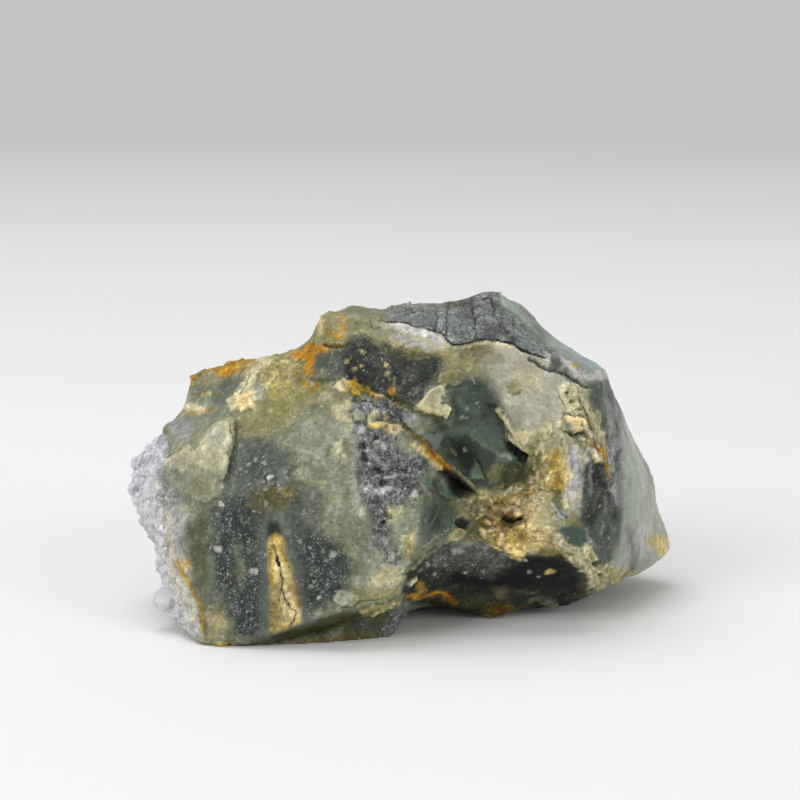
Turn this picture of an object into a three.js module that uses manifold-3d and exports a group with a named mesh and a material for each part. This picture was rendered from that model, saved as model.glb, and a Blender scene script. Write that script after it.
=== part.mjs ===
// A rough lump of banded chalcedony, broken out by hand, with a crust of pale amethyst crystals grown on
// its left side. It is one solid: broken faces, weathered rind and crystals are all one stone.
// Millimetres, +Z up, resting on Z = 0, with the most detailed broken face towards -Y.
import * as THREE from 'three';
import { ConvexHull } from 'three/addons/math/ConvexHull.js';
import * as BufferGeometryUtils from 'three/addons/utils/BufferGeometryUtils.js';
import Module from 'manifold-3d';

const wasm = await Module();
wasm.setup();

// ---- The survey sheet ---------------------------------------------------------------------------
// The front of the stone is laid out on a squared sheet, as seen by an eye in front of it and a little
// above. A corner is given by its place on the sheet, in squares, and by how far back it lies, in mm.
const SHEET_MIDDLE = 400; // the square that the eye looks straight at, across and down
const SQUARES_PER_MM = 6; // at the eye's distance
const EYE_DISTANCE = 400;
const EYE_TILT = THREE.MathUtils.degToRad(10); // how far the eye looks down
const EYE_LEVEL = 36.5; // the height on the stone's middle plane that the eye looks straight at

function surveyed([across, down, back]) {
  const lens = SQUARES_PER_MM * EYE_DISTANCE;
  const side = (across - SHEET_MIDDLE) / lens;
  const rise = (SHEET_MIDDLE - down) / lens;
  const sin = Math.sin(EYE_TILT);
  const cos = Math.cos(EYE_TILT);
  const beyond = (back - EYE_DISTANCE * rise * sin) / (cos + rise * sin);
  const reach = EYE_DISTANCE + beyond;
  return new THREE.Vector3(side * reach, back, EYE_LEVEL + rise * reach * cos - beyond * sin);
}

// ---- The outline, all round, as the eye sees it: [across, down, back] ----------------------------
const OUTLINE = [
  // the ragged crest of the weathered rind
  [337, 310, -2.5], [346, 306, -1], [357, 305, -0.5], [371, 308, -1], [385, 311, -1.5],
  [396, 306, 0.5], [410, 303, 2.5], [440, 303, 4.5], [465, 299, 6.5], [478, 294, 8], [486, 291, 9],
  [500, 292, 9],
  // down the smooth shoulder to the right-hand tip
  [506, 297, 9], [520, 303, 9.5], [532, 315, 9], [543, 328, 8], [560, 342, 6], [580, 355, 3.5],
  [597, 361, 1], [606, 371, 4.5], [613, 391, 7], [622, 410, 9], [636, 440, 12], [650, 468, 15],
  [655, 486, 16], [657, 504, 17], [663, 521, 18.4], [669, 536, 19], [669, 549, 19],
  [666, 556, 18.4],
  // the underside of the right-hand part, to the gap beside the front foot
  [656, 562, 14], [645, 570, 10], [637, 576, 6.5], [622, 581, 2], [606, 587, -2], [596, 592, -3],
  [584, 594, -3], [576, 602, -2.6], [568, 607.5, -2.6], [550, 608, -2.6], [526, 605, -3],
  [512, 612, -3.6], [500, 619, -4.6], [486, 618.5, -4.6], [470, 611, -5.4], [450, 606, -5],
  [430, 601, -4.6], [408, 601, -8],
  // the front foot
  [403, 606, -14.6], [402, 618, -14.8], [398, 630, -14.8], [393, 636, -14.8], [372, 640, -16.8],
  [340, 643, -18.6], [300, 645, -20], [262, 646, -20.6], [236, 646, -20.6], [214, 646, -21],
  [193, 645, -20.6],
  // up the crystal crust to the left shoulder
  [187, 633, -16.4], [180, 620, -13], [169, 606, -10], [162, 592, -7], [161, 576, -4],
  [159, 560, -2], [155, 545, 0], [146, 530, 2], [141, 516, 3], [136, 500, 3], [133, 484, 4],
  [135, 470, 5], [139, 457, 6], [148, 446, 6], [162, 432, 7],
  // the banded ledge, the front face's upper edge, and the step up to the rind
  [175, 421, 5], [182, 413, 4], [187, 400, 4.5], [189, 386, 5.5], [190, 374, 7], [202, 370, 8],
  [216, 364, 9], [240, 359, 9], [262, 357, 7], [278, 354, 2], [291, 350.5, -1], [303, 349, -3],
  [309, 338, -4], [314, 326, -4.2], [318, 315, -3.8], [327, 308, -3],
];

// ---- The arrises of the front: edges and creases of the broken faces -----------------------------
const FRONT_RUNS = {
  // where the crust meets the broken front
  crustSeam: [[184, 430, 0], [170, 466, -5], [166, 482, -7], [178, 505, -11], [182, 530, -13.5],
    [180, 560, -15], [194, 588, -17], [205, 610, -19], [207, 638, -21]],
  // the edge of the thin pale flake that stands proud on the left of the front
  flakeLip: [[203, 434, -8.4], [217, 424, -10], [232, 420, -11.2], [229, 444, -13.8], [226, 467, -15.4],
    [222, 488, -16.4]],
  flakeFoot: [[239, 421, -10.4], [236, 445, -12.8], [233, 469, -14.6], [229, 489, -16.2]],
  // the front face's upper left edge, and the foot of the ledge behind it
  shoulder: [[222, 413, -6.8], [228, 404, -6.5], [240, 390, -4.5], [250, 375, -3], [262, 365, -2],
    [274, 359, -1.6]],
  ledgeFoot: [[211, 407, 0], [218, 396, 1], [229, 383, 2.5], [240, 369, 4], [256, 361, 4]],
  // the step in the skyline
  stepFoot: [[306, 354, -5], [318, 348, -6.6], [334, 344, -8], [346, 343, -9.4]],
  // the sharp front edge of the weathered rind
  rindEdge: [[338, 316, -6], [360, 318, -7.5], [385, 319, -9], [402, 322, -10], [420, 326, -11],
    [438, 330, -12], [447, 338, -12.6], [460, 343, -12.8], [480, 339, -11.8], [500, 338, -11.2],
    [518, 343, -10.4], [535, 352, -9], [548, 357, -8], [562, 360, -6.6], [576, 367, -5.4],
    [590, 375, -4.4], [601, 373, -2.6]],
  // the white band's hollow under the rind's edge
  rindFoot: [[340, 323, -6], [361, 325.5, -7.5], [385, 326.5, -8.9], [400, 329.5, -9.8],
    [417, 333.5, -10.7], [434, 338, -11.7], [443, 347, -12.4], [460, 351, -12.7],
    [481, 347, -11.8]],
  // the crease between the rind and the cool smooth facet behind its right end
  rindCrease: [[507, 306, 6], [516, 318, 3.5], [530, 330, 1.5], [546, 344, -1], [562, 354, -2.5],
    [578, 362, -3.4]],
  // the foot of the dark high face, and the ochre ledge that stands out below it
  highFoot: [[338, 380, -11.6], [354, 388, -13], [374, 396, -14.4], [392, 402, -15.6]],
  highLedge: [[336, 389, -12.8], [350, 396, -14.2], [368, 405, -15.6], [387, 412, -16.8]],
  lowerLedge: [[364, 416, -15.8], [376, 428, -17], [392, 433, -17.8], [404, 437, -18.2]],
  // the front face's sharp lower arris, and the undercut below it
  frontSill: [[209, 640, -21.8], [240, 640, -22.2], [262, 638, -22.6], [290, 628, -23.2],
    [318, 618, -23.8], [348, 609, -24], [378, 602, -23.4], [400, 595, -22.4]],
  undercut: [[258, 642, -20], [290, 637, -18.6], [318, 630, -17.6], [350, 621, -16.8],
    [386, 610, -16.5]],
  // the blunt ridge that parts the front face from the hollow
  ridge: [[388, 424, -16.6], [405, 428, -17.4], [404, 450, -18.6], [412, 478, -19.4],
    [418, 505, -20.4], [420, 530, -21.2], [410, 552, -22.2], [402, 572, -22.6], [400, 595, -22.4]],
  // the orange vein's thin edge, running down into the hollow, and the dark slot under it
  veinLip: [[405, 428, -17.4], [424, 448, -18], [440, 468, -17.4], [456, 485, -15.6],
    [474, 496, -13.4], [494, 503, -11]],
  slot: [[438, 482, -14], [452, 492, -11.6], [468, 500, -10]],
  // the torn edge of the pale plate over the scar, and the foot of the step below it
  plateEdge: [[413, 405, -17.7], [424, 412, -18.4], [440, 414, -18.2], [451, 410, -17.4],
    [446, 398, -17.2], [446, 387, -16.6]],
  plateFoot: [[416, 412, -17.5], [427, 419, -17.7], [441, 421, -17.3], [455, 417, -15.8],
    [454, 402, -15.5], [453, 389, -15.6]],
  // the soft ridge between the two glassy scars
  scarRidge: [[434, 428, -16], [452, 431, -15], [470, 441, -13.6], [490, 454, -11.8],
    [510, 460, -10.8]],
  // the white pillow's broken lower lip, and the foot of the step below it
  pillowLip: [[486, 372, -14], [492, 390, -14.6], [500, 406, -15.4], [509, 422, -16.2],
    [518, 438, -16.2], [532, 452, -15.4]],
  pillowFoot: [[494, 412, -12.6], [500, 426, -11.8], [510, 441, -12], [524, 456, -12.2]],
  // the ribs of clear quartz between the pillow and the rim
  ribEdge: [[560, 424, -15.2], [566, 446, -15.6], [569, 470, -15.2], [566, 490, -14],
    [557, 503, -12.8], [566, 519, -12.8]],
  ribFoot: [[552, 443, -14], [557, 466, -13.4], [555, 486, -12.2], [547, 502, -11],
    [553, 520, -10.6]],
  window: [[557, 532, -11.6], [574, 525, -11.8], [584, 530, -11.4], [582, 547, -12.6],
    [568, 544, -12.4]],
  // the dark brow over the right-hand underside
  brow: [[402, 572, -22.6], [416, 560, -21], [434, 549, -19.4], [456, 543, -17.6],
    [480, 546, -16.4], [505, 553, -15.8], [532, 558, -15.6], [558, 561, -15.4], [576, 564, -15],
    [588, 570, -14], [597, 578, -9.6]],
  // the right-hand rim, its dark broken side, and the crease where the smooth green end face starts
  rim: [[601, 373, -2.6], [592, 386, -6.4], [584, 404, -10], [588, 436, -12.4], [592, 468, -12.6],
    [590, 498, -12], [588, 530, -12.4], [594, 556, -12.2], [597, 578, -9.6]],
  endCrease: [[606, 386, 0.4], [614, 408, -0.4], [620, 440, -3.4], [622, 480, -5], [622, 520, -5.4],
    [620, 552, -5], [615, 570, -4.8]],
};

// Single corners that give the faces between the arrises their swell or hollow.
const FRONT_FACES = {
  crust: [[150, 462, -1], [144, 490, -1.5], [156, 515, -4], [164, 540, -7], [168, 565, -9.5],
    [176, 592, -12.5], [190, 618, -16.4]],
  flake: [[196, 448, -8.6], [190, 468, -10.4], [210, 462, -13], [203, 495, -14.6],
    [212, 440, -10.6]],
  crustShoulder: [[176, 428, 1.5], [196, 426, 0.5]],
  ledge: [[210, 385, 5], [232, 368, 6.8], [205, 400, 3.4]],
  step: [[322, 334, -5.6], [332, 324, -5.6]],
  rind: [[430, 314, -4], [470, 316, -2.5], [462, 331, -8.6], [500, 320, -2.5], [525, 338, -5],
    [400, 315, -5.5], [360, 312, -4]],
  coolFacet: [[530, 321, 4.5], [560, 348, 0.6]],
  swell: [[275, 385, -7.5], [320, 385, -10.5], [255, 415, -9.5], [300, 425, -15], [345, 420, -15.2],
    [262, 460, -16.6], [310, 470, -19.4], [355, 465, -18.6], [248, 510, -19.8], [296, 515, -21.6],
    [342, 515, -21.8], [382, 520, -21], [236, 560, -20.8], [282, 565, -22.6], [330, 565, -23.2],
    [376, 560, -23.2], [222, 600, -21], [262, 604, -22.8], [308, 600, -23.6], [350, 592, -24],
    [205, 545, -17.4], [214, 620, -21.2]],
  high: [[352, 338, -9.5], [362, 366, -12.4], [400, 345, -13.2], [405, 378, -15.8],
    [438, 352, -14.6], [434, 380, -16.4], [404, 395, -16.7], [402, 415, -17.6]],
  slotSide: [[426, 474, -17.6], [434, 504, -17.4], [448, 524, -16]],
  scar: [[458, 368, -15.4], [464, 388, -14.4], [466, 410, -12.8], [478, 378, -13.6],
    [482, 400, -12], [484, 424, -11], [500, 440, -10.8], [450, 444, -14.2], [466, 458, -12.6],
    [486, 472, -10.4], [508, 474, -9.8], [478, 486, -11]],
  plate: [[434, 402, -17.6]],
  pillow: [[492, 358, -13.4], [520, 362, -12.8], [552, 374, -11.4], [508, 385, -15.4],
    [532, 390, -15.4], [558, 400, -13.8], [574, 388, -9.8], [524, 415, -16.6], [546, 428, -15.8],
    [568, 430, -14]],
  hollow: [[530, 472, -11.4], [545, 458, -14.4], [542, 478, -12], [534, 494, -10], [516, 500, -8.2],
    [500, 516, -7.6], [474, 512, -10], [512, 519, -6.4], [526, 524, -7.4], [540, 514, -9],
    [484, 530, -10.6], [510, 537, -11], [536, 539, -12], [578, 508, -11.8], [574, 536, -11]],
  underBrow: [[430, 578, -14], [460, 572, -13.4], [492, 574, -12.4], [524, 578, -11.4],
    [556, 578, -11.2], [578, 584, -8], [440, 592, -8], [480, 596, -8.4], [520, 593, -6.6],
    [550, 596, -5.6]],
  rimSide: [[607, 400, -2.6], [605, 430, -8], [607, 462, -9.2], [607, 498, -9.4], [606, 530, -9.4],
    [610, 560, -8]],
  endFace: [[634, 470, 2.4], [641, 520, 3.8], [636, 552, 3.4]],
};

// ---- The hidden back and the sole, in plain millimetres -----------------------------------------
const BACK_RUNS = {
  // the long arris that crosses the back, from the ledge to the right-hand tip
  backArris: [[-36, 18, 30], [-27, 26, 32], [-15, 30, 35], [-2, 29, 39], [10, 27, 42], [21, 27, 39],
    [31, 26, 32], [38.5, 25, 24], [45, 22.5, 14.5]],
  // the arris that runs down from it, between two great flake scars
  backSpur: [[-2, 29, 39], [-1, 35, 30], [2, 39, 21], [6, 38, 11]],
  backHem: [[-42, 12, 16], [-37, 20, 13], [-28, 29, 11], [-12, 35, 10], [6, 38, 11], [20, 36, 10],
    [33, 31, 8], [45.4, 22.5, 7]],
  backFoot: [[-36, 8, 5], [-31, 17, 3], [-22, 24, 0.5], [-8, 29, -0.8], [6, 31, -0.8],
    [17, 28, 0.4], [28, 22, 2.6], [38, 19, 4.4]],
  topHollow: [[-24, 16, 37], [-13, 16, 40], [-3, 16, 45]],
  notchBack: [[-24, 9, 39.5], [-17, 7, 41.5], [-12, 6, 44.5], [-8, 5.5, 47.5], [-2, 7, 48.5]],
};
const BACK_FACES = {
  leftScar: [[-20, 34, 24], [-32, 27, 23], [-12, 35, 28]],
  rightScar: [[14, 36, 29], [26, 33, 22], [16, 38, 18], [37, 28, 17]],
  topFace: [[-30, 19, 34], [-10, 22, 40], [8, 18, 47], [22, 18, 43], [32, 16, 36]],
  crustBack: [[-42, 10, 26], [-42, 9, 20], [-38, 4, 8], [-33, -5, 3.4]],
  sole: [[-20, 14, 1], [-6, 18, -0.9], [8, 18, -0.8], [20, 12, 2], [-26, 0, 1.6], [-12, 2, 2.4],
    [2, 6, 2.4], [12, 4, 1.2], [16, -1, -0.2], [28, 12, 3]],
  frontSole: [[-30, -14, -0.8], [-20, -15, -1], [-10, -14, -0.8], [-27, -8, 0.4], [-14, -8, 0.8]],
};

const RUN_STEP = 4; // corners along an arris are at most this far apart
const LONGEST_EDGE = 5; // faces are broken down until no edge is longer
const LEAST_EDGE = 0.03; // in the finished stone
const LEAST_PARTING = 0.022; // corners closer than this on the laying-out globe, in radians, are one
const [LOOSE, GUIDE, KEPT] = [0, 1, 2];
const RELAX_STEPS = 4; // how often the loose corners move before thin triangles are looked for again
const SWELL = 0.05; // how far a hidden face is pushed out at each step
const ROUGHNESS = 0.3; // how far a broken face strays from flat
const ROUGHNESS_SPAN = 5.5; // the size of its largest bumps

const CRYSTAL_GAP = 2.4; // between the roots of neighbouring crystals
const CRYSTAL_RADII = [1.7, 2.5];
const CRYSTAL_STRAY = 1.1; // how far the crystals lean away from upright
const CRYSTAL_SINK = 0.7; // how deep the foot of a crystal's tip lies in the stone
const TIP_STEEPNESS = 0.95; // a tip's height, as a share of the crystal's radius
const STEM = 0.6; // the six-sided stem below the tip
const SEAM_GAP = 1; // from the crust's seam to the nearest crystal
const BIG_CRYSTAL = { root: [169, 598, -9.5], tip: [160, 601, -11], radius: 1.7, rooted: 2 };

// ---- Helpers ------------------------------------------------------------------------------------
// A steady random number from 0 to 1 for each whole-number place.
function chance(i, j, k) {
  const mixed = Math.sin(i * 127.1 + j * 311.7 + k * 74.7) * 43758.5453;
  return mixed - Math.floor(mixed);
}

// Smooth noise from -1 to 1, one bump to each unit.
function noise(x, y, z) {
  const cell = [Math.floor(x), Math.floor(y), Math.floor(z)];
  const ease = [x, y, z].map((value, axis) => THREE.MathUtils.smoothstep(value - cell[axis], 0, 1));
  let sum = 0;
  for (let corner = 0; corner < 8; corner += 1) {
    const step = [corner & 1, (corner >> 1) & 1, corner >> 2];
    const share = step.reduce((part, on, axis) => part * (on ? ease[axis] : 1 - ease[axis]), 1);
    sum += share * chance(cell[0] + step[0], cell[1] + step[1], cell[2] + step[2]);
  }
  return 2 * sum - 1;
}

// ---- The blank ----------------------------------------------------------------------------------
// Corners are joined to their neighbours on a laying-out globe, whose equator is the outline. What the
// eye sees lies in front of the equator, as far from it as it is inside the outline on the sheet. The
// rest lies behind it, by the direction in which it is seen from the heart of the stone.
const MIDDLE = [400, 460, 9]; // the heart's own place on the sheet
const HEART = surveyed(MIDDLE);

function polar([across, down]) {
  const [x, y] = [across - MIDDLE[0], MIDDLE[1] - down];
  return { turn: Math.atan2(y, x), radius: Math.hypot(x, y) };
}

// A run with more corners put in, so that its edge is kept when the faces are laid.
function stepped(run, gapBetween, closed = false) {
  const full = closed ? [...run, run[0]] : run;
  const more = [full[0]];
  for (let i = 1; i < full.length; i += 1) {
    const parts = Math.ceil(gapBetween(full[i - 1], full[i]) / RUN_STEP);
    for (let part = 1; part <= parts; part += 1) {
      const at = (value, axis) => THREE.MathUtils.lerp(full[i - 1][axis], value, part / parts);
      more.push(full[i].map(at));
    }
  }
  return closed ? more.slice(0, -1) : more;
}

const surveyedGap = (from, to) => surveyed(from).distanceTo(surveyed(to));
const plainGap = (from, to) => new THREE.Vector3(...from).distanceTo(new THREE.Vector3(...to));

// How far round to the back a point lies, as seen from the heart: 0 is straight away from the eye.
function swing(point) {
  const away = new THREE.Vector3(0, Math.cos(EYE_TILT), -Math.sin(EYE_TILT));
  return point.clone().sub(HEART).angleTo(away);
}

const outline = stepped(OUTLINE, surveyedGap, true)
  .map((corner) => ({ corner, ...polar(corner), swing: swing(surveyed(corner)) }));

// Where the outline lies in one direction from the middle: its distance, and its swing.
function outlineTowards(turn) {
  const [cos, sin] = [Math.cos(turn), Math.sin(turn)];
  for (let i = 0; i < outline.length; i += 1) {
    const [from, to] = [outline[i], outline[(i + 1) % outline.length]];
    const [ax, ay] = [from.radius * Math.cos(from.turn), from.radius * Math.sin(from.turn)];
    const [bx, by] = [to.radius * Math.cos(to.turn), to.radius * Math.sin(to.turn)];
    const along = (ay * cos - ax * sin) / ((bx - ax) * sin - (by - ay) * cos);
    const radius = (ax + (bx - ax) * along) * cos + (ay + (by - ay) * along) * sin;
    if (along >= 0 && along <= 1 && radius > 0) {
      return { radius, swing: THREE.MathUtils.lerp(from.swing, to.swing, along) };
    }
  }
  throw new Error('the outline is open');
}

function onGlobe(turn, lean) {
  const [across, deep] = [Math.sin(lean), Math.cos(lean)];
  return new THREE.Vector3(across * Math.cos(turn), across * Math.sin(turn), deep);
}

function onFront(corner) {
  const { turn, radius } = polar(corner);
  const inside = radius / outlineTowards(turn).radius;
  if (inside > 0.999) throw new Error(`a corner lies on or outside the outline: ${corner}`);
  return onGlobe(turn, (inside * Math.PI) / 2);
}

// The sheet place at which the eye sees a point given in millimetres.
function sightedAt({ x, y, z }) {
  const [sin, cos] = [Math.sin(EYE_TILT), Math.cos(EYE_TILT)];
  const above = z - EYE_LEVEL;
  const scale = (SQUARES_PER_MM * EYE_DISTANCE) / (EYE_DISTANCE + y * cos - above * sin);
  return [SHEET_MIDDLE + scale * x, SHEET_MIDDLE - scale * (y * sin + above * cos)];
}

function onBack(point) {
  const { turn, radius } = polar(sightedAt(point));
  const edge = outlineTowards(turn);
  if (radius > edge.radius) throw new Error(`a hidden corner shows past the outline: ${point.toArray()}`);
  return onGlobe(turn, Math.PI - (swing(point) / edge.swing) * (Math.PI / 2));
}

function blank() {
  const corners = [];
  const spots = [];
  const kept = []; // how firmly each corner stays where it is given: KEPT, GUIDE or LOOSE
  const add = (corner, spot, keep) => {
    if (spots.every((other) => other.angleTo(spot) > LEAST_PARTING)) {
      corners.push(corner);
      spots.push(spot);
      kept.push(keep);
    }
  };
  const front = (corner, keep) => add(surveyed(corner), onFront(corner), keep);
  const back = (place, keep) => {
    const point = new THREE.Vector3(...place);
    add(point, onBack(point), keep);
  };
  outline.forEach(({ corner, turn }) => add(surveyed(corner), onGlobe(turn, Math.PI / 2), KEPT));
  const frontRuns = Object.values(FRONT_RUNS);
  const backRuns = Object.values(BACK_RUNS);
  frontRuns.flat().forEach((corner) => front(corner, KEPT));
  Object.values(FRONT_FACES).flat().forEach((corner) => front(corner, GUIDE));
  frontRuns.flatMap((run) => stepped(run, surveyedGap)).forEach((corner) => front(corner, KEPT));
  backRuns.flatMap((run) => stepped(run, plainGap)).forEach((place) => back(place, KEPT));
  Object.values(BACK_FACES).flat().forEach((place) => back(place, GUIDE));
  const index = new Map(spots.map((spot, i) => [spot, i]));
  const hull = new ConvexHull().setFromPoints(spots);
  const triangles = hull.faces.map((face) => {
    const first = face.edge;
    return [first, first.next, first.next.next].map((edge) => index.get(edge.head().point));
  });
  return { corners, kept, triangles };
}

// Each triangle is split at the middle of its longest edges until none is longer than LONGEST_EDGE.
function brokenDown({ corners, kept, triangles }) {
  const middles = new Map();
  const middle = (a, b) => {
    const key = a < b ? `${a},${b}` : `${b},${a}`;
    if (!middles.has(key)) {
      middles.set(key, corners.length);
      corners.push(corners[a].clone().lerp(corners[b], 0.5));
      kept.push(LOOSE);
    }
    return middles.get(key);
  };
  const tooLong = (a, b) => corners[a].distanceTo(corners[b]) > LONGEST_EDGE;
  let work = triangles;
  let splitAny = true;
  while (splitAny) {
    splitAny = false;
    const next = [];
    for (const [a, b, c] of work) {
      const long = [[a, b, c], [b, c, a], [c, a, b]].filter(([p, q]) => tooLong(p, q));
      if (long.length === 0) {
        next.push([a, b, c]);
      } else if (long.length === 3) {
        const [ab, bc, ca] = [middle(a, b), middle(b, c), middle(c, a)];
        next.push([a, ab, ca], [ab, b, bc], [ca, bc, c], [ab, bc, ca]);
        splitAny = true;
      } else if (long.length === 2) {
        const [p, q, r] = long[0][1] === long[1][0] ? long[0] : long[1];
        const [pq, qr] = [middle(p, q), middle(q, r)];
        next.push([pq, q, qr], [p, pq, qr], [p, qr, r]);
        splitAny = true;
      } else {
        const [p, q, r] = long[0];
        const pq = middle(p, q);
        next.push([p, pq, r], [pq, q, r]);
        splitAny = true;
      }
    }
    work = next;
  }
  return { corners, kept, triangles: work };
}

// The faces are drawn smooth between their arrises, like a skin with a little air behind it: each corner
// less firm than `firm` moves to the middle of its neighbours, and long thin triangles are mended.
function relaxed({ corners, kept, triangles }, firm, rounds) {
  let drawn = corners;
  let work = triangles;
  for (let round = 0; round < rounds; round += 1) {
    const neighbours = corners.map(() => new Set());
    work.forEach(([a, b, c]) => [[a, b], [b, c], [c, a]].forEach(([p, q]) => {
      neighbours[p].add(q);
      neighbours[q].add(p);
    }));
    for (let step = 0; step < RELAX_STEPS; step += 1) {
      const normals = facing({ corners: drawn, triangles: work });
      drawn = drawn.map((corner, i) => {
        if (kept[i] >= firm) return corner;
        const middle = new THREE.Vector3();
        neighbours[i].forEach((j) => middle.add(drawn[j]));
        return middle.divideScalar(neighbours[i].size).addScaledVector(normals[i], SWELL);
      });
    }
    work = turned(drawn, kept, work, neighbours);
  }
  return { corners: drawn, kept, triangles: work };
}

// Where two triangles share an edge that leaves them thin, it is turned to join their far corners.
function turned(corners, kept, triangles, neighbours) {
  const work = triangles.map((triangle) => [...triangle]);
  const sides = new Map();
  work.forEach(([a, b, c], t) => [[a, b], [b, c], [c, a]].forEach((side) => sides.set(side.join(), t)));
  const from = (p, q) => corners[q].clone().sub(corners[p]);
  const angleAt = (p, q, r) => from(p, q).angleTo(from(p, r));
  const touched = new Set();
  for (const [key, left] of sides) {
    const [a, b] = key.split(',').map(Number);
    const right = sides.get(`${b},${a}`);
    const onArris = kept[a] === KEPT && kept[b] === KEPT;
    if (a < b && !onArris && !touched.has(left) && !touched.has(right)) {
      const c = work[left].find((i) => i !== a && i !== b);
      const d = work[right].find((i) => i !== a && i !== b);
      if (angleAt(c, a, b) + angleAt(d, a, b) > Math.PI + 0.05 && !neighbours[c].has(d)) {
        work[left] = [a, d, c];
        work[right] = [d, b, c];
        neighbours[c].add(d);
        neighbours[d].add(c);
        touched.add(left).add(right);
      }
    }
  }
  return work;
}

// The way that the surface faces at each corner.
function facing({ corners, triangles }) {
  const normals = corners.map(() => new THREE.Vector3());
  for (const triangle of triangles) {
    const [a, b, c] = triangle.map((i) => corners[i]);
    const normal = b.clone().sub(a).cross(c.clone().sub(a));
    triangle.forEach((i) => normals[i].add(normal));
  }
  return normals.map((normal) => normal.normalize());
}

function roughened(body) {
  const normals = facing(body);
  const corners = body.corners.map((corner, i) => {
    const { x, y, z } = corner.clone().divideScalar(ROUGHNESS_SPAN);
    const stray = noise(x, y, z) + 0.5 * noise(2.3 * x + 9, 2.3 * y, 2.3 * z);
    return corner.clone().addScaledVector(normals[i], ROUGHNESS * stray);
  });
  return { corners, triangles: body.triangles };
}

// ---- Solids -------------------------------------------------------------------------------------
function toSolid(vertProperties, triVerts) {
  return new wasm.Manifold(new wasm.Mesh({ numProp: 3, vertProperties, triVerts }));
}

function geometryToSolid(geometry) {
  const bare = geometry.clone();
  bare.deleteAttribute('normal');
  bare.deleteAttribute('uv');
  const merged = BufferGeometryUtils.mergeVertices(bare, 1e-4);
  return toSolid(new Float32Array(merged.attributes.position.array), new Uint32Array(merged.index.array));
}

function bodySolid({ corners, triangles }) {
  const places = new Float32Array(corners.flatMap((corner) => corner.toArray()));
  return toSolid(places, new Uint32Array(triangles.flat()));
}

// ---- The crystal crust --------------------------------------------------------------------------
// How far out the crust begins at each height: at its seam with the broken front, and alike on the back.
const seam = FRONT_RUNS.crustSeam.map(surveyed).sort((one, other) => one.z - other.z);

function inCrust({ x, z }) {
  const above = seam.findIndex((place) => place.z > z);
  if (above < 1) return false;
  const [low, high] = [seam[above - 1], seam[above]];
  return x < THREE.MathUtils.mapLinear(z, low.z, high.z, low.x, high.x) - SEAM_GAP;
}

// One six-sided point, whose tip's foot lies `stand` above `root`, leaning along `lean`.
function crystal(root, lean, radius, stand, stemLength) {
  const tip = new THREE.ConeGeometry(radius, radius * TIP_STEEPNESS, 6);
  tip.translate(0, stand + (radius * TIP_STEEPNESS) / 2, 0);
  const stem = new THREE.CylinderGeometry(radius, radius, stemLength, 6);
  stem.translate(0, stand - stemLength / 2, 0);
  const turn = new THREE.Quaternion().setFromUnitVectors(new THREE.Vector3(0, 1, 0), lean);
  const spin = new THREE.Matrix4().makeRotationY(6 * chance(root.x, root.y, root.z));
  const pose = new THREE.Matrix4().compose(root, turn, new THREE.Vector3(1, 1, 1)).multiply(spin);
  return [tip, stem].map((geometry) => geometryToSolid(geometry.applyMatrix4(pose)));
}

function crust({ corners, triangles }) {
  const roots = [];
  const solids = [];
  triangles.forEach((triangle, t) => {
    const [a, b, c] = triangle.map((i) => corners[i]);
    const face = new THREE.Triangle(a, b, c);
    const root = face.getMidpoint(new THREE.Vector3());
    const gap = CRYSTAL_GAP * (0.8 + 0.5 * chance(t, 1, 1));
    if (!inCrust(root) || roots.some((other) => other.distanceTo(root) < gap)) return;
    roots.push(root);
    const stray = new THREE.Vector3(chance(t, 2, 1), chance(t, 3, 1), chance(t, 4, 1)).subScalar(0.5);
    const lean = face.getNormal(new THREE.Vector3()).addScaledVector(stray, CRYSTAL_STRAY).normalize();
    const radius = THREE.MathUtils.lerp(...CRYSTAL_RADII, chance(t, 5, 1) ** 2);
    solids.push(...crystal(root, lean, radius, -CRYSTAL_SINK, STEM));
  });
  const root = surveyed(BIG_CRYSTAL.root);
  const lean = surveyed(BIG_CRYSTAL.tip).sub(root);
  const stand = lean.length();
  solids.push(...crystal(root, lean.normalize(), BIG_CRYSTAL.radius, stand, stand + BIG_CRYSTAL.rooted));
  return solids;
}

// The feet are ground flat on Z = 0.
function floorCut() {
  const reach = 200;
  const block = new THREE.BoxGeometry(reach, reach, reach);
  block.translate(0, 0, -reach / 2);
  return geometryToSolid(block);
}

// Corners closer than LEAST_EDGE become one, and pockets left between the crystals are closed up.
function cleaned(solid) {
  const { vertProperties, triVerts } = solid.asOriginal().simplify(LEAST_EDGE).getMesh();
  const corner = (i) => new THREE.Vector3().fromArray(vertProperties, 3 * i);
  const places = [];
  const same = [];
  for (let i = 0; i < vertProperties.length / 3; i += 1) {
    const near = places.findIndex((place) => place.distanceTo(corner(i)) < LEAST_EDGE);
    same.push(near < 0 ? places.push(corner(i)) - 1 : near);
  }
  const kept = [];
  for (let i = 0; i < triVerts.length; i += 3) {
    const [a, b, c] = triVerts.subarray(i, i + 3).map((j) => same[j]);
    if (a !== b && b !== c && c !== a) kept.push(a, b, c);
  }
  const flat = new Float32Array(places.flatMap((place) => place.toArray()));
  const shells = toSolid(flat, new Uint32Array(kept)).decompose();
  return shells.sort((one, other) => other.volume() - one.volume())[0];
}

// The stone's middle is put over the origin.
function centred(solid) {
  const { min, max } = solid.boundingBox();
  return solid.translate([-(min[0] + max[0]) / 2, -(min[1] + max[1]) / 2, -min[2]]);
}

const body = roughened(relaxed(relaxed(brokenDown(blank()), GUIDE, 12), KEPT, 1));
const grown = wasm.Manifold.union([bodySolid(body), ...crust(body)]);
const stone = centred(cleaned(grown.subtract(floorCut())));

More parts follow.
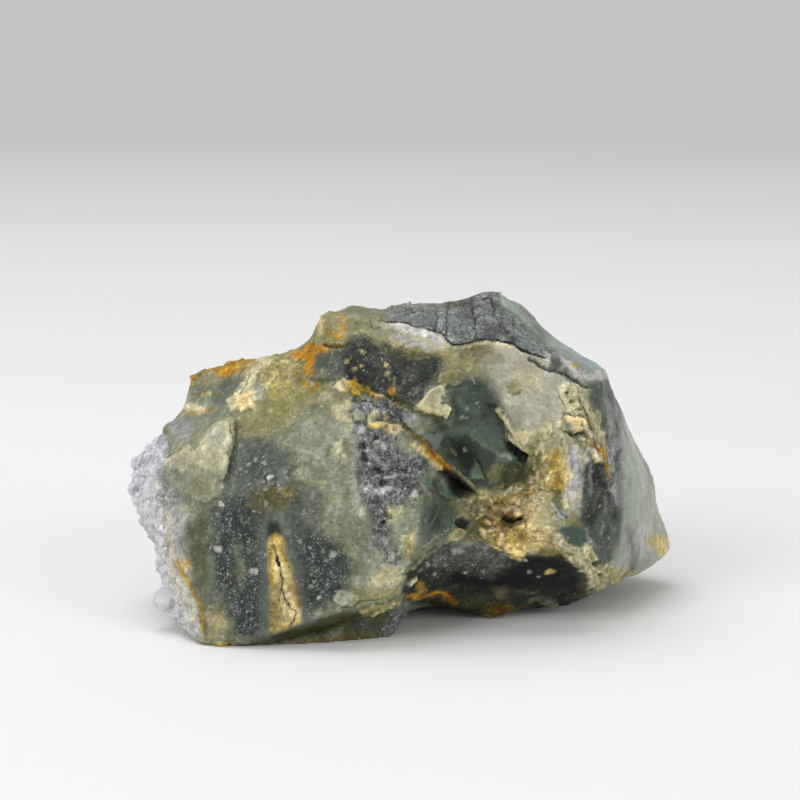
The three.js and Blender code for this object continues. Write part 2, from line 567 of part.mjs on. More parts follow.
function toMesh(solid, name, material) {
  const { vertProperties, triVerts } = solid.getMesh();
  const geometry = new THREE.BufferGeometry();
  geometry.setAttribute('position', new THREE.BufferAttribute(new Float32Array(vertProperties), 3));
  geometry.setIndex(new THREE.BufferAttribute(new Uint32Array(triVerts), 1));
  geometry.computeVertexNormals();
  const mesh = new THREE.Mesh(geometry, material);
  mesh.name = name;
  return mesh;
}

const chalcedony = new THREE.MeshStandardMaterial({ color: 0x6f7666, roughness: 0.45, metalness: 0 });

const model = new THREE.Group();
model.add(toMesh(stone, 'stone', chalcedony));

export default model;
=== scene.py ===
import random
from math import cos, pi, radians, sin

import bmesh
import bpy
import numpy as np
from mathutils import Matrix, Vector, kdtree, noise


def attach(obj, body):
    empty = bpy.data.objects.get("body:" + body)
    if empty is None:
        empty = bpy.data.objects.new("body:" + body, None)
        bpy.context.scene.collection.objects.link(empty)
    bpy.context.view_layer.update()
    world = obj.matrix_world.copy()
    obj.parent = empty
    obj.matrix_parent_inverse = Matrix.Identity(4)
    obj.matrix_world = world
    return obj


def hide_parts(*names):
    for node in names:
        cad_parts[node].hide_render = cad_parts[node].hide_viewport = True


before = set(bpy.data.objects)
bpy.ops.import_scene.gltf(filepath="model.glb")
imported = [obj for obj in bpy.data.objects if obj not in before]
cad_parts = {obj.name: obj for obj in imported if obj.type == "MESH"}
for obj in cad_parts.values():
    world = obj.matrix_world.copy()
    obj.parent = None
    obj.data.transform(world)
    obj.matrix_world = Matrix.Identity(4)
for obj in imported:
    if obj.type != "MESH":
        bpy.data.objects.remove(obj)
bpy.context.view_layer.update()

MM = 0.001

# ---- The eye ------------------------------------------------------------------------------------
# The stone is looked at from in front and a little above, through a long lens. The places of its marks are
# given on the squared sheet that this eye sees: squares across and squares down.
EYE_DISTANCE = 400 * MM
EYE_TILT = radians(10)
EYE_LEVEL = 36.5 * MM  # the height on the sheet's middle plane that the eye looks straight at
SHEET_ORIGIN = Vector((-0.8806, -7.4581, 0)) * MM  # where the sheet's middle plane stands
SHEET_MIDDLE = 400  # the square that the eye looks straight at
SQUARES_TO_EYE = 2400  # the eye's distance from the sheet, in squares

looking = Vector((0, cos(EYE_TILT), -sin(EYE_TILT)))
overhead = Vector((0, sin(EYE_TILT), cos(EYE_TILT)))
eye = SHEET_ORIGIN + Vector((0, 0, EYE_LEVEL)) - looking * EYE_DISTANCE

camera = bpy.data.objects.new("camera", bpy.data.cameras.new("camera"))
camera.data.sensor_width = 36
camera.data.lens = camera.data.sensor_width * SQUARES_TO_EYE / (2 * SHEET_MIDDLE)
camera.data.clip_start = 10 * MM
camera.data.dof.use_dof = False
camera.location = eye
camera.rotation_mode = "QUATERNION"
camera.rotation_quaternion = looking.to_track_quat("-Z", "Y")
bpy.context.scene.collection.objects.link(camera)
bpy.context.scene.camera = camera

# ---- The floor and the light ---------------------------------------------------------------------
# A pale sweep of matt paper, flat under the stone and curved up behind it, in the soft light of a wide
# lamp overhead, a weaker one at each side, and a pale room.
SWEEP_NEAR = -2.0
SWEEP_FAR = 1.2
SWEEP_WIDTH = 6.0
SWEEP_BEND = 0.8
SWEEP_TOP = 2.5
SWEEP_STEPS = 24
PAPER = (0.80, 0.80, 0.80)
PAPER_ROUGHNESS = 0.9
LAMPS = {
    # where it stands, how wide it is, and its power in watts
    "overhead": ((-0.2, 0.1, 1.1), 0.8, 5),
    "left": ((-0.75, -0.9, 0.8), 0.6, 7),
    "right": ((0.9, -0.7, 0.5), 0.5, 2.5),
}
ROOM_LIGHT = 0.55

sweep = bmesh.new()
ends = [sweep.verts.new((-SWEEP_WIDTH / 2, y, 0)) for y in (SWEEP_NEAR, SWEEP_FAR)]
sweep.edges.new(ends)
bmesh.ops.spin(
    sweep, geom=[ends[1]], cent=(0, SWEEP_FAR, SWEEP_BEND), axis=(1, 0, 0), angle=pi / 2, steps=SWEEP_STEPS
)
highest = max(sweep.verts, key=lambda vert: vert.co.z)
risen = bmesh.ops.extrude_vert_indiv(sweep, verts=[highest])
risen["verts"][0].co.z = SWEEP_TOP
across = bmesh.ops.extrude_edge_only(sweep, edges=sweep.edges[:])
new_verts = [part for part in across["geom"] if isinstance(part, bmesh.types.BMVert)]
bmesh.ops.translate(sweep, verts=new_verts, vec=(SWEEP_WIDTH, 0, 0))
bmesh.ops.recalc_face_normals(sweep, faces=sweep.faces)
if min(sweep.faces, key=lambda face: face.calc_center_median().z).normal.z < 0:
    bmesh.ops.reverse_faces(sweep, faces=sweep.faces)
floor = bpy.data.objects.new("floor", bpy.data.meshes.new("floor"))
sweep.to_mesh(floor.data)
floor.data.shade_smooth()
bpy.context.scene.collection.objects.link(floor)
paper = bpy.data.materials.new("paper")
paper.use_nodes = True
paper_shader = paper.node_tree.nodes["Principled BSDF"].inputs
paper_shader["Base Color"].default_value = (*PAPER, 1)
paper_shader["Roughness"].default_value = PAPER_ROUGHNESS
floor.data.materials.append(paper)

for name, (place, width, watts) in LAMPS.items():
    lamp = bpy.data.objects.new(name, bpy.data.lights.new(name, "AREA"))
    lamp.data.shape = "DISK"
    lamp.data.size = width
    lamp.data.energy = watts
    lamp.location = place
    lamp.rotation_mode = "QUATERNION"
    lamp.rotation_quaternion = (-Vector(place)).to_track_quat("-Z", "Y")
    bpy.context.scene.collection.objects.link(lamp)

room = bpy.data.worlds.new("room")
room.use_nodes = True
glow = room.node_tree.nodes["Background"].inputs
glow["Color"].default_value = (1, 1, 1, 1)
glow["Strength"].default_value = ROOM_LIGHT
bpy.context.scene.world = room
bpy.context.scene.view_settings.view_transform = "Standard"

# ---- The stone's broken skin ---------------------------------------------------------------------
# Chalcedony breaks in smooth shallow shells between sharp arrises. The solid's skin is laid anew as a fine
# even net, finest on the front, and the flats between the arrises are eased into such shells.
NET = 0.73 * MM
ARRIS_ANGLE = radians(32)  # a sharper bend in the solid is an arris
ARRIS_STEP = 0.5 * MM
ARRIS_REACH = (0.3 * MM, 2.4 * MM)  # nearer than the first nothing is eased; past the second all is
EASING_ROUNDS = 7
MERGE_WITHIN = 0.001 * MM
FACING_FRONT = 0.02  # a face turned more than this to the eye belongs to the front


def smooth(value, low, high):
    """0 below low, 1 above high, and a soft step between them."""
    share = np.clip((value - low) / (high - low), 0, 1)
    return share * share * (3 - 2 * share)


def as_object(name, mesh):
    """A new object, at the origin, that shows the mesh."""
    piece = bpy.data.objects.new(name, mesh)
    bpy.context.scene.collection.objects.link(piece)
    return piece


def places_of(mesh):
    """The mesh's corners and the ways that they face, as two arrays."""
    places = np.empty(3 * len(mesh.vertices))
    facing = np.empty(3 * len(mesh.vertices))
    mesh.vertices.foreach_get("co", places)
    mesh.vertex_normals.foreach_get("vector", facing)
    return places.reshape(-1, 3), facing.reshape(-1, 3)


solid = bmesh.new()
solid.from_mesh(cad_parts["stone"].data)
bmesh.ops.remove_doubles(solid, verts=solid.verts, dist=MERGE_WITHIN)
arris_places = []
for edge in solid.edges:
    if edge.calc_face_angle(0) > ARRIS_ANGLE:
        start, end = [vert.co for vert in edge.verts]
        steps = max(1, round((end - start).length / ARRIS_STEP))
        arris_places += [start.lerp(end, step / steps) for step in range(steps + 1)]
arrises = kdtree.KDTree(len(arris_places))
for index, place in enumerate(arris_places):
    arrises.insert(place, index)
arrises.balance()

rough_mesh = bpy.data.meshes.new("rough")
solid.to_mesh(rough_mesh)
rough = as_object("rough", rough_mesh)
remesh = rough.modifiers.new("net", "REMESH")
remesh.mode = "VOXEL"
remesh.voxel_size = NET
netted = rough.evaluated_get(bpy.context.evaluated_depsgraph_get()).to_mesh()
net = bmesh.new()
net.from_mesh(netted)
bpy.data.objects.remove(rough)

front_edges = set()
for face in net.faces:
    middle = face.calc_center_median()
    if face.normal.dot((eye - middle).normalized()) > FACING_FRONT:
        front_edges.update(face.edges)
bmesh.ops.subdivide_edges(net, edges=list(front_edges), cuts=1, use_grid_fill=True)
bmesh.ops.triangulate(net, faces=[face for face in net.faces if len(face.verts) > 4])
skin = bpy.data.meshes.new("stone_skin")
net.to_mesh(skin)
skin.shade_smooth()
stone = as_object("stone_skin", skin)

ends = np.empty(2 * len(skin.edges), dtype=int)
skin.edges.foreach_get("vertices", ends)
ends = ends.reshape(-1, 2)
near, far = np.concatenate([ends, ends[:, ::-1]]).T
neighbours = np.bincount(near, minlength=len(skin.vertices))


def evened(places):
    """Each corner's place as the mean of its neighbours' places."""
    sums = [np.bincount(near, weights=places[far, axis], minlength=len(places)) for axis in range(3)]
    return np.stack(sums, axis=1) / neighbours[:, None]


spots, _ = places_of(skin)
to_arris = np.array([arrises.find(place)[2] for place in spots])
ease = smooth(to_arris, *ARRIS_REACH)[:, None]
for _ in range(EASING_ROUNDS):
    spots += ease * (evened(spots) - spots)
skin.vertices.foreach_set("co", spots.ravel())
skin.update()
spots, facing = places_of(skin)

# ---- The minerals --------------------------------------------------------------------------------
# The stone is banded and stained chalcedony: clear silica grown full of green, grey, ochre and black, here
# glassy, there grainy as sugar. Each mineral is laid over the net as an area or a streak with a ragged edge.
MINERALS = {
    # colour; mottled with; share of mottling, of white grains, of dark grains; roughness, grain, crumbs
    "sage": ((118, 122, 102), (144, 147, 128), 0.42, 0.035, 0.06, 0.34, 0.20, 0.0),
    "pale_sage": ((138, 141, 124), (162, 163, 146), 0.42, 0.05, 0.03, 0.34, 0.20, 0.0),
    "moss": ((126, 120, 80), (148, 141, 103), 0.42, 0.03, 0.05, 0.36, 0.18, 0.0),
    "golden_moss": ((180, 168, 114), (208, 196, 150), 0.50, 0.15, 0.08, 0.42, 0.40, 0.10),
    "olive": ((88, 86, 54), (114, 110, 72), 0.42, 0.03, 0.10, 0.42, 0.25, 0.0),
    "dark_olive": ((58, 60, 34), (84, 84, 54), 0.40, 0.02, 0.12, 0.38, 0.20, 0.0),
    "slate": ((72, 78, 72), (92, 99, 92), 0.35, 0.06, 0.12, 0.36, 0.18, 0.0),
    "deep_slate": ((48, 55, 49), (68, 75, 68), 0.35, 0.10, 0.10, 0.32, 0.14, 0.0),
    "haze": ((80, 87, 80), (96, 103, 95), 0.30, 0.02, 0.03, 0.30, 0.05, 0.0),
    "sugared_slate": ((56, 62, 57), (84, 90, 84), 0.40, 0.24, 0.30, 0.40, 0.45, 0.0),
    "granite": ((98, 100, 101), (182, 184, 187), 0.46, 0.50, 0.50, 0.44, 0.75, 0.14),
    "dark_rock": ((48, 50, 48), (92, 93, 82), 0.45, 0.07, 0.40, 0.50, 0.60, 0.06),
    "grey_slate": ((88, 90, 84), (122, 124, 118), 0.40, 0.18, 0.20, 0.38, 0.30, 0.05),
    "black": ((2, 4, 2), (11, 17, 11), 0.30, 0.002, 0.02, 0.45, 0.12, 0.0),
    "black_slate": ((36, 40, 34), (62, 66, 58), 0.40, 0.04, 0.18, 0.42, 0.30, 0.04),
    "bottle": ((34, 48, 34), (72, 91, 74), 0.42, 0.002, 0.01, 0.27, 0.03, 0.0),
    # the scar's bottle green painted paler: painted sheen on the scar and painted highlight on its lit chips
    "bottle_sheen": ((92, 110, 90), (116, 132, 110), 0.30, 0.002, 0.02, 0.22, 0.03, 0.0),
    "teal_slate": ((60, 76, 68), (84, 99, 90), 0.35, 0.02, 0.06, 0.26, 0.08, 0.0),
    "honey": ((216, 194, 130), (238, 222, 170), 0.50, 0.08, 0.08, 0.45, 0.25, 0.04),
    "gold": ((214, 192, 130), (238, 224, 182), 0.50, 0.10, 0.14, 0.72, 0.40, 0.30),
    "ochre": ((172, 140, 62), (206, 176, 98), 0.50, 0.05, 0.10, 0.42, 0.30, 0.10),
    "orange": ((176, 126, 34), (204, 164, 74), 0.50, 0.02, 0.05, 0.38, 0.20, 0.04),
    "rust": ((104, 78, 24), (140, 108, 44), 0.40, 0.02, 0.12, 0.42, 0.35, 0.06),
    "cream": ((208, 199, 162), (230, 223, 194), 0.45, 0.10, 0.04, 0.40, 0.25, 0.04),
    "peach": ((222, 200, 152), (236, 220, 184), 0.40, 0.05, 0.04, 0.40, 0.22, 0.04),
    "crumbs": ((234, 227, 186), (244, 240, 214), 0.50, 0.10, 0.16, 0.72, 0.45, 0.28),
    "plate": ((182, 177, 148), (204, 199, 172), 0.40, 0.05, 0.03, 0.34, 0.12, 0.0),
    "quartz": ((186, 185, 178), (212, 211, 204), 0.45, 0.20, 0.04, 0.26, 0.25, 0.04),
    "milk": ((165, 162, 147), (182, 180, 169), 0.40, 0.004, 0.004, 0.24, 0.05, 0.0),
    "lilac": ((154, 153, 156), (186, 185, 188), 0.50, 0.16, 0.06, 0.28, 0.25, 0.03),
    "druse": ((186, 184, 192), (224, 223, 228), 0.50, 0.06, 0.02, 0.20, 0.14, 0.10),
    "khaki": ((136, 131, 96), (154, 149, 116), 0.40, 0.05, 0.05, 0.36, 0.15, 0.0),
    "rind": ((132, 136, 133), (168, 171, 168), 0.45, 0.20, 0.35, 0.70, 0.75, 0.05),
    "teal": ((138, 148, 142), (160, 168, 162), 0.35, 0.02, 0.02, 0.30, 0.05, 0.0),
    "jade": ((144, 151, 134), (164, 169, 151), 0.35, 0.02, 0.02, 0.30, 0.06, 0.0),
}
FULLNESS = 1.18  # a fresh break's glare pales it, so its own colours are this much fuller
DARKEST, PALEST = 0.002, 0.9


def linear(colour):
    """A colour of 0 to 255 shares, as the eye sees it, in the even shares that light mixes in."""
    share = np.array(colour) / 255
    share = np.where(share <= 0.04045, share / 12.92, ((share + 0.055) / 1.055) ** 2.4)
    return np.clip(share.mean() + FULLNESS * (share - share.mean()), DARKEST, PALEST)


def cloud(points, span, layers=2):
    """Soft noise, about -1 to 1, with one bump to each span."""
    return np.array([noise.fractal(Vector(point) / span, 1, 2, layers) for point in points])


# how far each corner of the net faces the eye, and where on the sheet the eye sees it
from_eye = spots - np.array(eye)
reach = from_eye @ np.array(looking)
sheet = SHEET_MIDDLE + SQUARES_TO_EYE * np.stack(
    [from_eye[:, 0] / reach, -(from_eye @ np.array(overhead)) / reach], axis=1
)
facing_eye = -(from_eye * facing).sum(axis=1) / np.linalg.norm(from_eye, axis=1)
MARKS_FADE = (-0.30, 0.05)  # marks fade out where the stone turns from the eye
seen = smooth(facing_eye, *MARKS_FADE)

RAGGED_BENDS = ((5 * MM, 1.5), (1.5 * MM, 0.9), (0.6 * MM, 0.4))  # the span and the share of each
wander = np.zeros_like(sheet)
for span, share in RAGGED_BENDS:
    for axis, offset in enumerate((0.0, 0.37)):
        wander[:, axis] += share * cloud(spots + offset, span)

colour = np.empty((len(spots), 3))
mottle = np.empty((len(spots), 3))
traits = np.empty((len(spots), 6))
lift = np.zeros(len(spots))
NO_CRACK = (50.0, 0.0, 0.0)  # how far it is, in squares, its half width and its darkness
crack = np.tile(NO_CRACK, (len(spots), 1))


def lay(mineral, share):
    """Lays a mineral over the net, with a share of 0 to 1 at each corner."""
    ground, flecks, *own_traits = MINERALS[mineral]
    for layer, value in ((colour, linear(ground)), (mottle, linear(flecks)), (traits, own_traits)):
        layer += share[:, None] * (np.array(value) - layer)


def squares(marks):
    """Places on the sheet: an array of them, or text that gives each one's squares across and down."""
    if isinstance(marks, str):
        marks = [place.split(",") for place in marks.split()]
    return np.array(marks, dtype=float)


def to_line(places, line, closed=False):
    """How far each place is from a line, on which side of it, and whether it is inside a closed one."""
    starts, stops = (line, np.roll(line, -1, axis=0)) if closed else (line[:-1], line[1:])
    nearest = np.full(len(places), 1e9)
    side = np.zeros(len(places))
    inside = np.zeros(len(places), dtype=bool)
    for (ax, ay), (bx, by) in zip(starts, stops):
        run = np.array([bx - ax, by - ay])
        offset = places - (ax, ay)
        along = np.clip(offset @ run / (run @ run), 0, 1)
        gap = np.hypot(*(offset - along[:, None] * run).T)
        closer = gap < nearest
        nearest = np.where(closer, gap, nearest)
        side = np.where(closer, np.sign(run[0] * offset[:, 1] - run[1] * offset[:, 0]), side)
        inside ^= ((ay > places[:, 1]) != (by > places[:, 1])) & (
            offset[:, 0] < (places[:, 1] - ay) * run[0] / (run[1] or 1e-9)
        )
    return nearest, side, inside


def near_marks(marks, margin, least_seen=0.0):
    """The corners that the eye sees near some marks on the sheet."""
    low, high = marks.min(axis=0) - margin, marks.max(axis=0) + margin
    return np.flatnonzero((seen > least_seen) & (sheet > low).all(axis=1) & (sheet < high).all(axis=1))


def within(outline, soft, ragged):
    """The share of each corner that lies in an outline on the sheet."""
    share = np.zeros(len(spots))
    around = near_marks(outline, soft + 2 * ragged)
    nearest, _, inside = to_line(sheet[around] + ragged * wander[around], outline, closed=True)
    share[around] = smooth(np.where(inside, nearest, -nearest), -soft / 2, soft / 2) * seen[around]
    return share


def beside(line, width, soft, ragged):
    """The share of each corner that lies under a streak drawn along a line on the sheet."""
    share = np.zeros(len(spots))
    around = near_marks(line, width + soft + 2 * ragged)
    nearest, _, _ = to_line(sheet[around] + ragged * wander[around], line)
    share[around] = smooth(width / 2 - nearest, -soft / 2, soft / 2) * seen[around]
    return share


BLEND = 1.35  # an area that isn't raised melts into its neighbours over this much more than its softness
RISE = 1.6 * MM  # how far a mark that is raised by one stands proud


def area(mineral, strength, soft, ragged, outline, raised=0):
    """A patch of a mineral, in an outline on the sheet."""
    share = within(squares(outline), soft if raised else BLEND * soft, ragged)
    lay(mineral, strength * share)
    lift[:] += raised * RISE * share


def streak(mineral, strength, width, soft, ragged, line, raised=0):
    """A stroke of a mineral, along a line on the sheet."""
    share = beside(squares(line), width, soft, ragged)
    lay(mineral, strength * share)
    lift[:] += raised * RISE * share


CRACK_REACH = 12  # squares
CRACK_WANDER, CRACK_SOFT = 1.5, 1.5
CRACK_DENT = 0.12 * MM  # how far the skin sinks at a crack one square wide


def cut(depth, width, line):
    """A crack along a line on the sheet: how far each corner is from it, its half width, its darkness."""
    line = squares(line)
    around = near_marks(line, CRACK_REACH, least_seen=0.5)
    nearest, side, _ = to_line(sheet[around] + CRACK_WANDER * wander[around], line)
    closer = nearest - width / 2 < np.abs(crack[around, 0]) - crack[around, 1]
    chosen = around[closer]
    crack[chosen, 0] = (nearest * side)[closer]
    crack[chosen, 1:] = (width / 2, depth)
    lift[around] -= CRACK_DENT * depth * width * smooth(width / 2 + CRACK_SOFT - nearest, -1, 2)


SPLINTER_STRENGTH = 0.65
SPLINTER_SOFT, SPLINTER_RAGGED = 1.8, 1.2


def shards(minerals, count, size, lean, spread, outline, raised=0):
    """Splinters of some minerals, thrown over an outline along one lean, give or take a spread."""
    outline = squares(outline)
    low, high = outline.min(axis=0), outline.max(axis=0)
    for number in range(count):
        middle = low + (high - low) * (scatter.random(), scatter.random())
        turn = radians(lean + scatter.uniform(-spread, spread))
        reach = size * scatter.uniform(0.3, 0.9) * np.array((cos(turn), sin(turn)))
        width = size * scatter.uniform(0.3, 0.6)
        rise = raised * scatter.uniform(-0.6, 1)
        mineral = minerals[number % len(minerals)]
        splinter = [middle - reach, middle + reach]
        if to_line(middle[None], outline, closed=True)[2][0]:
            streak(mineral, SPLINTER_STRENGTH, width, SPLINTER_SOFT, SPLINTER_RAGGED, splinter, rise)


scatter = random.Random(5)
SPOT_EDGE = 1.6  # how soft and how ragged a spot's edge is, in squares


def spots_of(mineral, strength, radius, places, raised=0):
    """Round spots of a mineral, each a stroke one square long."""
    for middle in squares(places):
        dot = [middle - (0.5, 0), middle + (0.5, 0)]
        streak(mineral, strength, 2 * radius, SPOT_EDGE, SPOT_EDGE, dot, raised)


# the hidden faces: bands of the same minerals, as the stone's own layers run, from end to end
lay("sage", np.ones(len(spots)))
BAND_SPAN, VEIN_SPAN, PATCH_SPAN = 14 * MM, 24 * MM, 18 * MM
HIDDEN_STRENGTH = 0.9
RIND_HEIGHT = (36 * MM, 42 * MM)
CRUST_EDGE = (35.5 * MM, 37 * MM)  # how far left of the middle the crust begins
bands = cloud(spots * (1.0, 0.7, 0.5) + 0.2, BAND_SPAN, 4)
veins = cloud(spots * (1.0, 0.8, 0.6) + 0.7, VEIN_SPAN, 3)
patches = cloud(spots + 1.3, PATCH_SPAN, 5)
for mineral, field, low, high in [
    ("slate", bands, 0.06, 0.24),
    ("sugared_slate", bands, 0.24, 0.36),
    ("moss", -bands, 0.10, 0.34),
    ("pale_sage", patches, 0.10, 0.30),
    ("quartz", patches, 0.40, 0.62),
    ("khaki", -patches, 0.14, 0.34),
    ("ochre", -np.abs(veins), -0.012, -0.002),
    ("cream", -np.abs(veins - 0.10), -0.013, -0.003),
]:
    lay(mineral, HIDDEN_STRENGTH * smooth(field, low, high))
upward = smooth(facing[:, 2] + 0.5 * bands, 0.72, 0.86)
lay("rind", HIDDEN_STRENGTH * upward * smooth(spots[:, 2], *RIND_HEIGHT))
lay("druse", smooth(-(spots[:, 0] + 1.5 * MM * veins), *CRUST_EDGE))

# all of the front, before its marks
lay("sage", seen)
# the crystal crust's own ground, and the yellow seam where it meets the broken front
area("druse", 1, 6, 3, "150,425 166,440 166,462 160,478 164,500 176,512 180,535 174,560 186,585 200,612 "
    "203,638 185,650 120,570 110,480")
area("khaki", 0.6, 10, 4, "166,428 200,424 204,434 186,448 170,446")
area("quartz", 0.85, 10, 4, "150,478 172,474 182,500 187,520 188,548 185,566 192,590 201,612 204,636 "
    "186,640 160,600 146,530")
area("lilac", 0.5, 8, 3, "152,500 166,500 170,540 166,580 152,560")
area("granite", 0.35, 8, 3, "160,474 174,480 178,500 170,510 160,498")
streak("cream", 0.5, 7, 8, 3, "168,515 173,545 178,575 190,602 198,622")
area("dark_olive", 0.6, 14, 4, "184,522 204,515 210,560 206,598 194,584 184,560")
area("ochre", 0.6, 5, 2, "178,559 190,560 191,567 182,569")
streak("rust", 0.8, 3, 3, 1.5, "186,576 192,588 199,599 205,612 206,628 207,640")
streak("ochre", 0.9, 2.6, 2, 1.5, "178,561 184,573 189,584 196,595 201,604 202,616 203,630")
area("khaki", 0.8, 4, 1, "193,636 205,636 206,648 192,648")

# the banded ledge behind the front's upper left edge
area("pale_sage", 0.85, 5, 1, "184,364 262,352 276,355 262,366 246,380 236,398 222,418 205,428 176,426 "
    "184,404")
area("khaki", 0.8, 4, 2, "188,364 222,358 220,378 206,381 188,382")
streak("khaki", 0.7, 6, 5, 2, "192,384 212,380 232,382 244,378")
area("slate", 0.65, 5, 2, "222,380 250,374 243,388 234,398 222,396 218,386")
streak("slate", 0.4, 4, 4, 1.5, "200,388 216,387 226,388")
streak("olive", 0.6, 5, 4, 2, "192,394 206,392 218,394")
spots_of("golden_moss", 0.8, 2.2, "203,394 209,393")
area("haze", 0.85, 4, 2, "213,397 228,395 226,405 214,406")
area("ochre", 0.9, 3, 1, "216,364 232,359 258,356 262,362 246,371 232,376 217,376")
area("orange", 0.95, 3, 1.5, "217,365 236,362 235,372 228,377 218,377")
streak("ochre", 0.9, 3, 3, 1, "192,376 192,387")
streak("ochre", 0.75, 3, 3, 2, "191,379 198,374 207,370 216,366")
streak("cream", 0.85, 7, 4, 2, "184,408 196,407 206,410")
streak("ochre", 0.7, 3, 3, 2, "184,413 196,413 206,409 212,410")
streak("haze", 0.5, 4, 5, 2, "184,419 200,417 214,414 222,408")
area("lilac", 0.6, 6, 2, "168,424 188,420 196,428 190,440 172,446")

# the thin pale flake
area("pale_sage", 0.9, 6, 3, "168,462 184,455 197,446 204,436 214,428 224,423 233,421 233,445 228,468 "
    "225,490 206,500 186,496 172,482", raised=0.25)
area("plate", 0.85, 6, 2, "198,440 210,426 224,422 234,421 234,440 231,456 214,452 200,448")
area("quartz", 0.35, 10, 2, "204,432 224,424 230,440 222,452 206,446")
area("plate", 0.65, 7, 3, "168,464 188,452 204,446 222,452 229,458 224,474 204,464 186,472", raised=0.15)
area("khaki", 0.4, 12, 4, "186,472 214,468 222,488 204,498 190,494")
streak("cream", 0.6, 2.5, 3, 2, "168,468 182,457 198,447 206,448 214,456")
streak("cream", 0.5, 2, 3, 1, "227,458 226,474 223,488")
# a dark streak down the flake's right edge: painted shadow beside its step
streak("dark_olive", 0.85, 4, 3, 1, "236,424 234,446 230,462 227,484")

# the front: yellow-green above, sage below, with dark sugary bands
area("moss", 0.9, 26, 7, "262,358 304,350 314,372 336,386 350,402 338,416 298,412 284,428 262,436 240,436 "
    "233,424 240,408 252,396 254,380")
area("golden_moss", 0.8, 10, 5, "254,362 276,356 300,358 300,376 284,392 268,396 262,380")
area("quartz", 0.5, 6, 3, "252,384 262,382 262,398 254,398")
area("cream", 0.85, 6, 4, "256,360 272,357 268,366 258,374 252,382 251,396 249,409 238,410 230,408 228,402 "
    "236,396 243,384 250,370", raised=0.2)
area("peach", 0.9, 4, 2, "238,396 250,392 251,404 246,410 237,410", raised=0.15)
area("pale_sage", 0.5, 30, 8, "300,420 350,425 356,470 350,520 320,500 300,460")
area("slate", 0.85, 16, 6, "238,440 264,438 290,452 304,466 296,484 270,490 250,486 240,500 226,504 "
    "224,480 231,456")
area("deep_slate", 0.85, 14, 6, "240,452 276,460 284,476 268,486 250,480")
area("slate", 0.85, 16, 7, "226,494 250,484 300,486 318,506 334,530 344,560 342,590 322,608 300,620 "
    "262,640 226,642 216,600 212,556 214,512")
area("pale_sage", 0.35, 16, 7, "300,496 322,500 330,524 306,520")
area("sugared_slate", 0.95, 10, 5, "216,512 240,496 252,508 257,545 256,600 262,634 238,638 226,612 "
    "220,585 214,550")
area("sage", 0.6, 8, 5, "234,540 244,536 246,575 238,590 234,570")
area("khaki", 0.7, 12, 3, "208,608 222,608 226,632 210,640")
area("peach", 0.35, 10, 3, "210,612 220,612 222,630 212,634")
area("olive", 0.75, 10, 5, "250,492 264,486 288,486 297,492 293,506 280,513 262,515 248,506")
area("rust", 0.15, 8, 4, "262,490 282,486 292,494 284,504 266,504")
area("golden_moss", 0.25, 7, 5, "280,490 291,486 292,500 284,502")
area("sugared_slate", 0.9, 12, 6, "300,550 312,530 332,542 348,552 346,578 330,600 316,612 306,606")
spots_of("quartz", 0.8, 3, "271,476 218,549 222,503 252,570", raised=0.1)
streak("quartz", 0.35, 7, 7, 4, "302,424 312,427 320,425")
streak("quartz", 0.35, 6, 7, 4, "303,448 314,452 322,450")
streak("quartz", 0.3, 7, 7, 4, "336,484 340,494 338,504")
streak("quartz", 0.3, 8, 8, 5, "312,398 330,402")
streak("plate", 0.5, 7, 7, 4, "336,412 348,416 352,424")
streak("plate", 0.35, 8, 8, 5, "296,476 318,486 330,500")
spots_of("cream", 0.6, 2.4, "309,380 314,383 322,372 296,366 286,362")
spots_of("quartz", 0.5, 1.5, "255,460 250,552 240,604 256,624 218,514 267,489 240,470 264,462 281,489 "
    "323,552 327,562 328,587 311,587 319,598")

# the yellow vein in the front, with its dark cap, its grey halo and the crack in it
area("haze", 0.85, 8, 2, "260,640 259,560 263,530 272,518 284,524 294,556 306,600 312,622 300,628")
area("black", 0.85, 6, 1, "267,538 266,526 270,521 278,523 281,532 283,540")
area("honey", 0.97, 6, 1.5, "269,539 275,535 282,540 286,560 291,585 296,606 300,622 288,629 275,634 "
    "272,628 271,600 269,570")
streak("ochre", 0.75, 4, 4, 1.5, "270,580 270,560 271,544 275,537 281,540 284,552 288,566")
streak("ochre", 0.5, 4, 5, 1.5, "288,566 293,586 299,606")
area("olive", 0.6, 6, 4, "268,584 276,580 281,600 280,632 270,636")
area("cream", 0.7, 8, 3, "276,556 283,566 290,594 298,616 284,626 280,590")
area("peach", 0.6, 6, 3, "284,600 296,596 299,618 284,626")

# the pale broken edge at the front's lower right, its plates, and the undercut foot
area("pale_sage", 0.7, 12, 5, "352,565 376,560 398,564 402,585 380,596 350,594")
area("cream", 0.7, 9, 4, "368,578 380,566 398,562 400,582 384,590 370,590")
area("moss", 0.6, 8, 3, "354,584 376,584 376,594 352,594")
area("pale_sage", 0.95, 4, 3, "334,590 344,586 354,592 360,598 352,606 340,607 333,598", raised=0.3)
area("khaki", 0.9, 4, 2, "352,598 374,592 400,588 404,596 385,600 353,606")
area("dark_olive", 0.9, 5, 2, "258,641 290,630 318,620 346,611 360,613 352,622 326,632 300,638 275,642")
area("olive", 0.8, 5, 2, "346,616 380,608 392,612 388,630 372,640 340,642")
area("slate", 0.7, 5, 2, "350,618 378,614 380,628 362,634")
area("golden_moss", 0.85, 3, 2, "358,611 376,605 401,600 400,605 386,611 364,615", raised=0.3)
area("rust", 0.6, 4, 2, "296,640 330,636 352,633 356,640 330,646 296,646")
streak("ochre", 0.7, 3, 2, 1, "208,644 224,643 236,645")
streak("rust", 0.5, 3, 2, 1, "240,645 300,643")
area("granite", 0.95, 5, 2, "388,612 403,604 404,622 396,640 382,638")

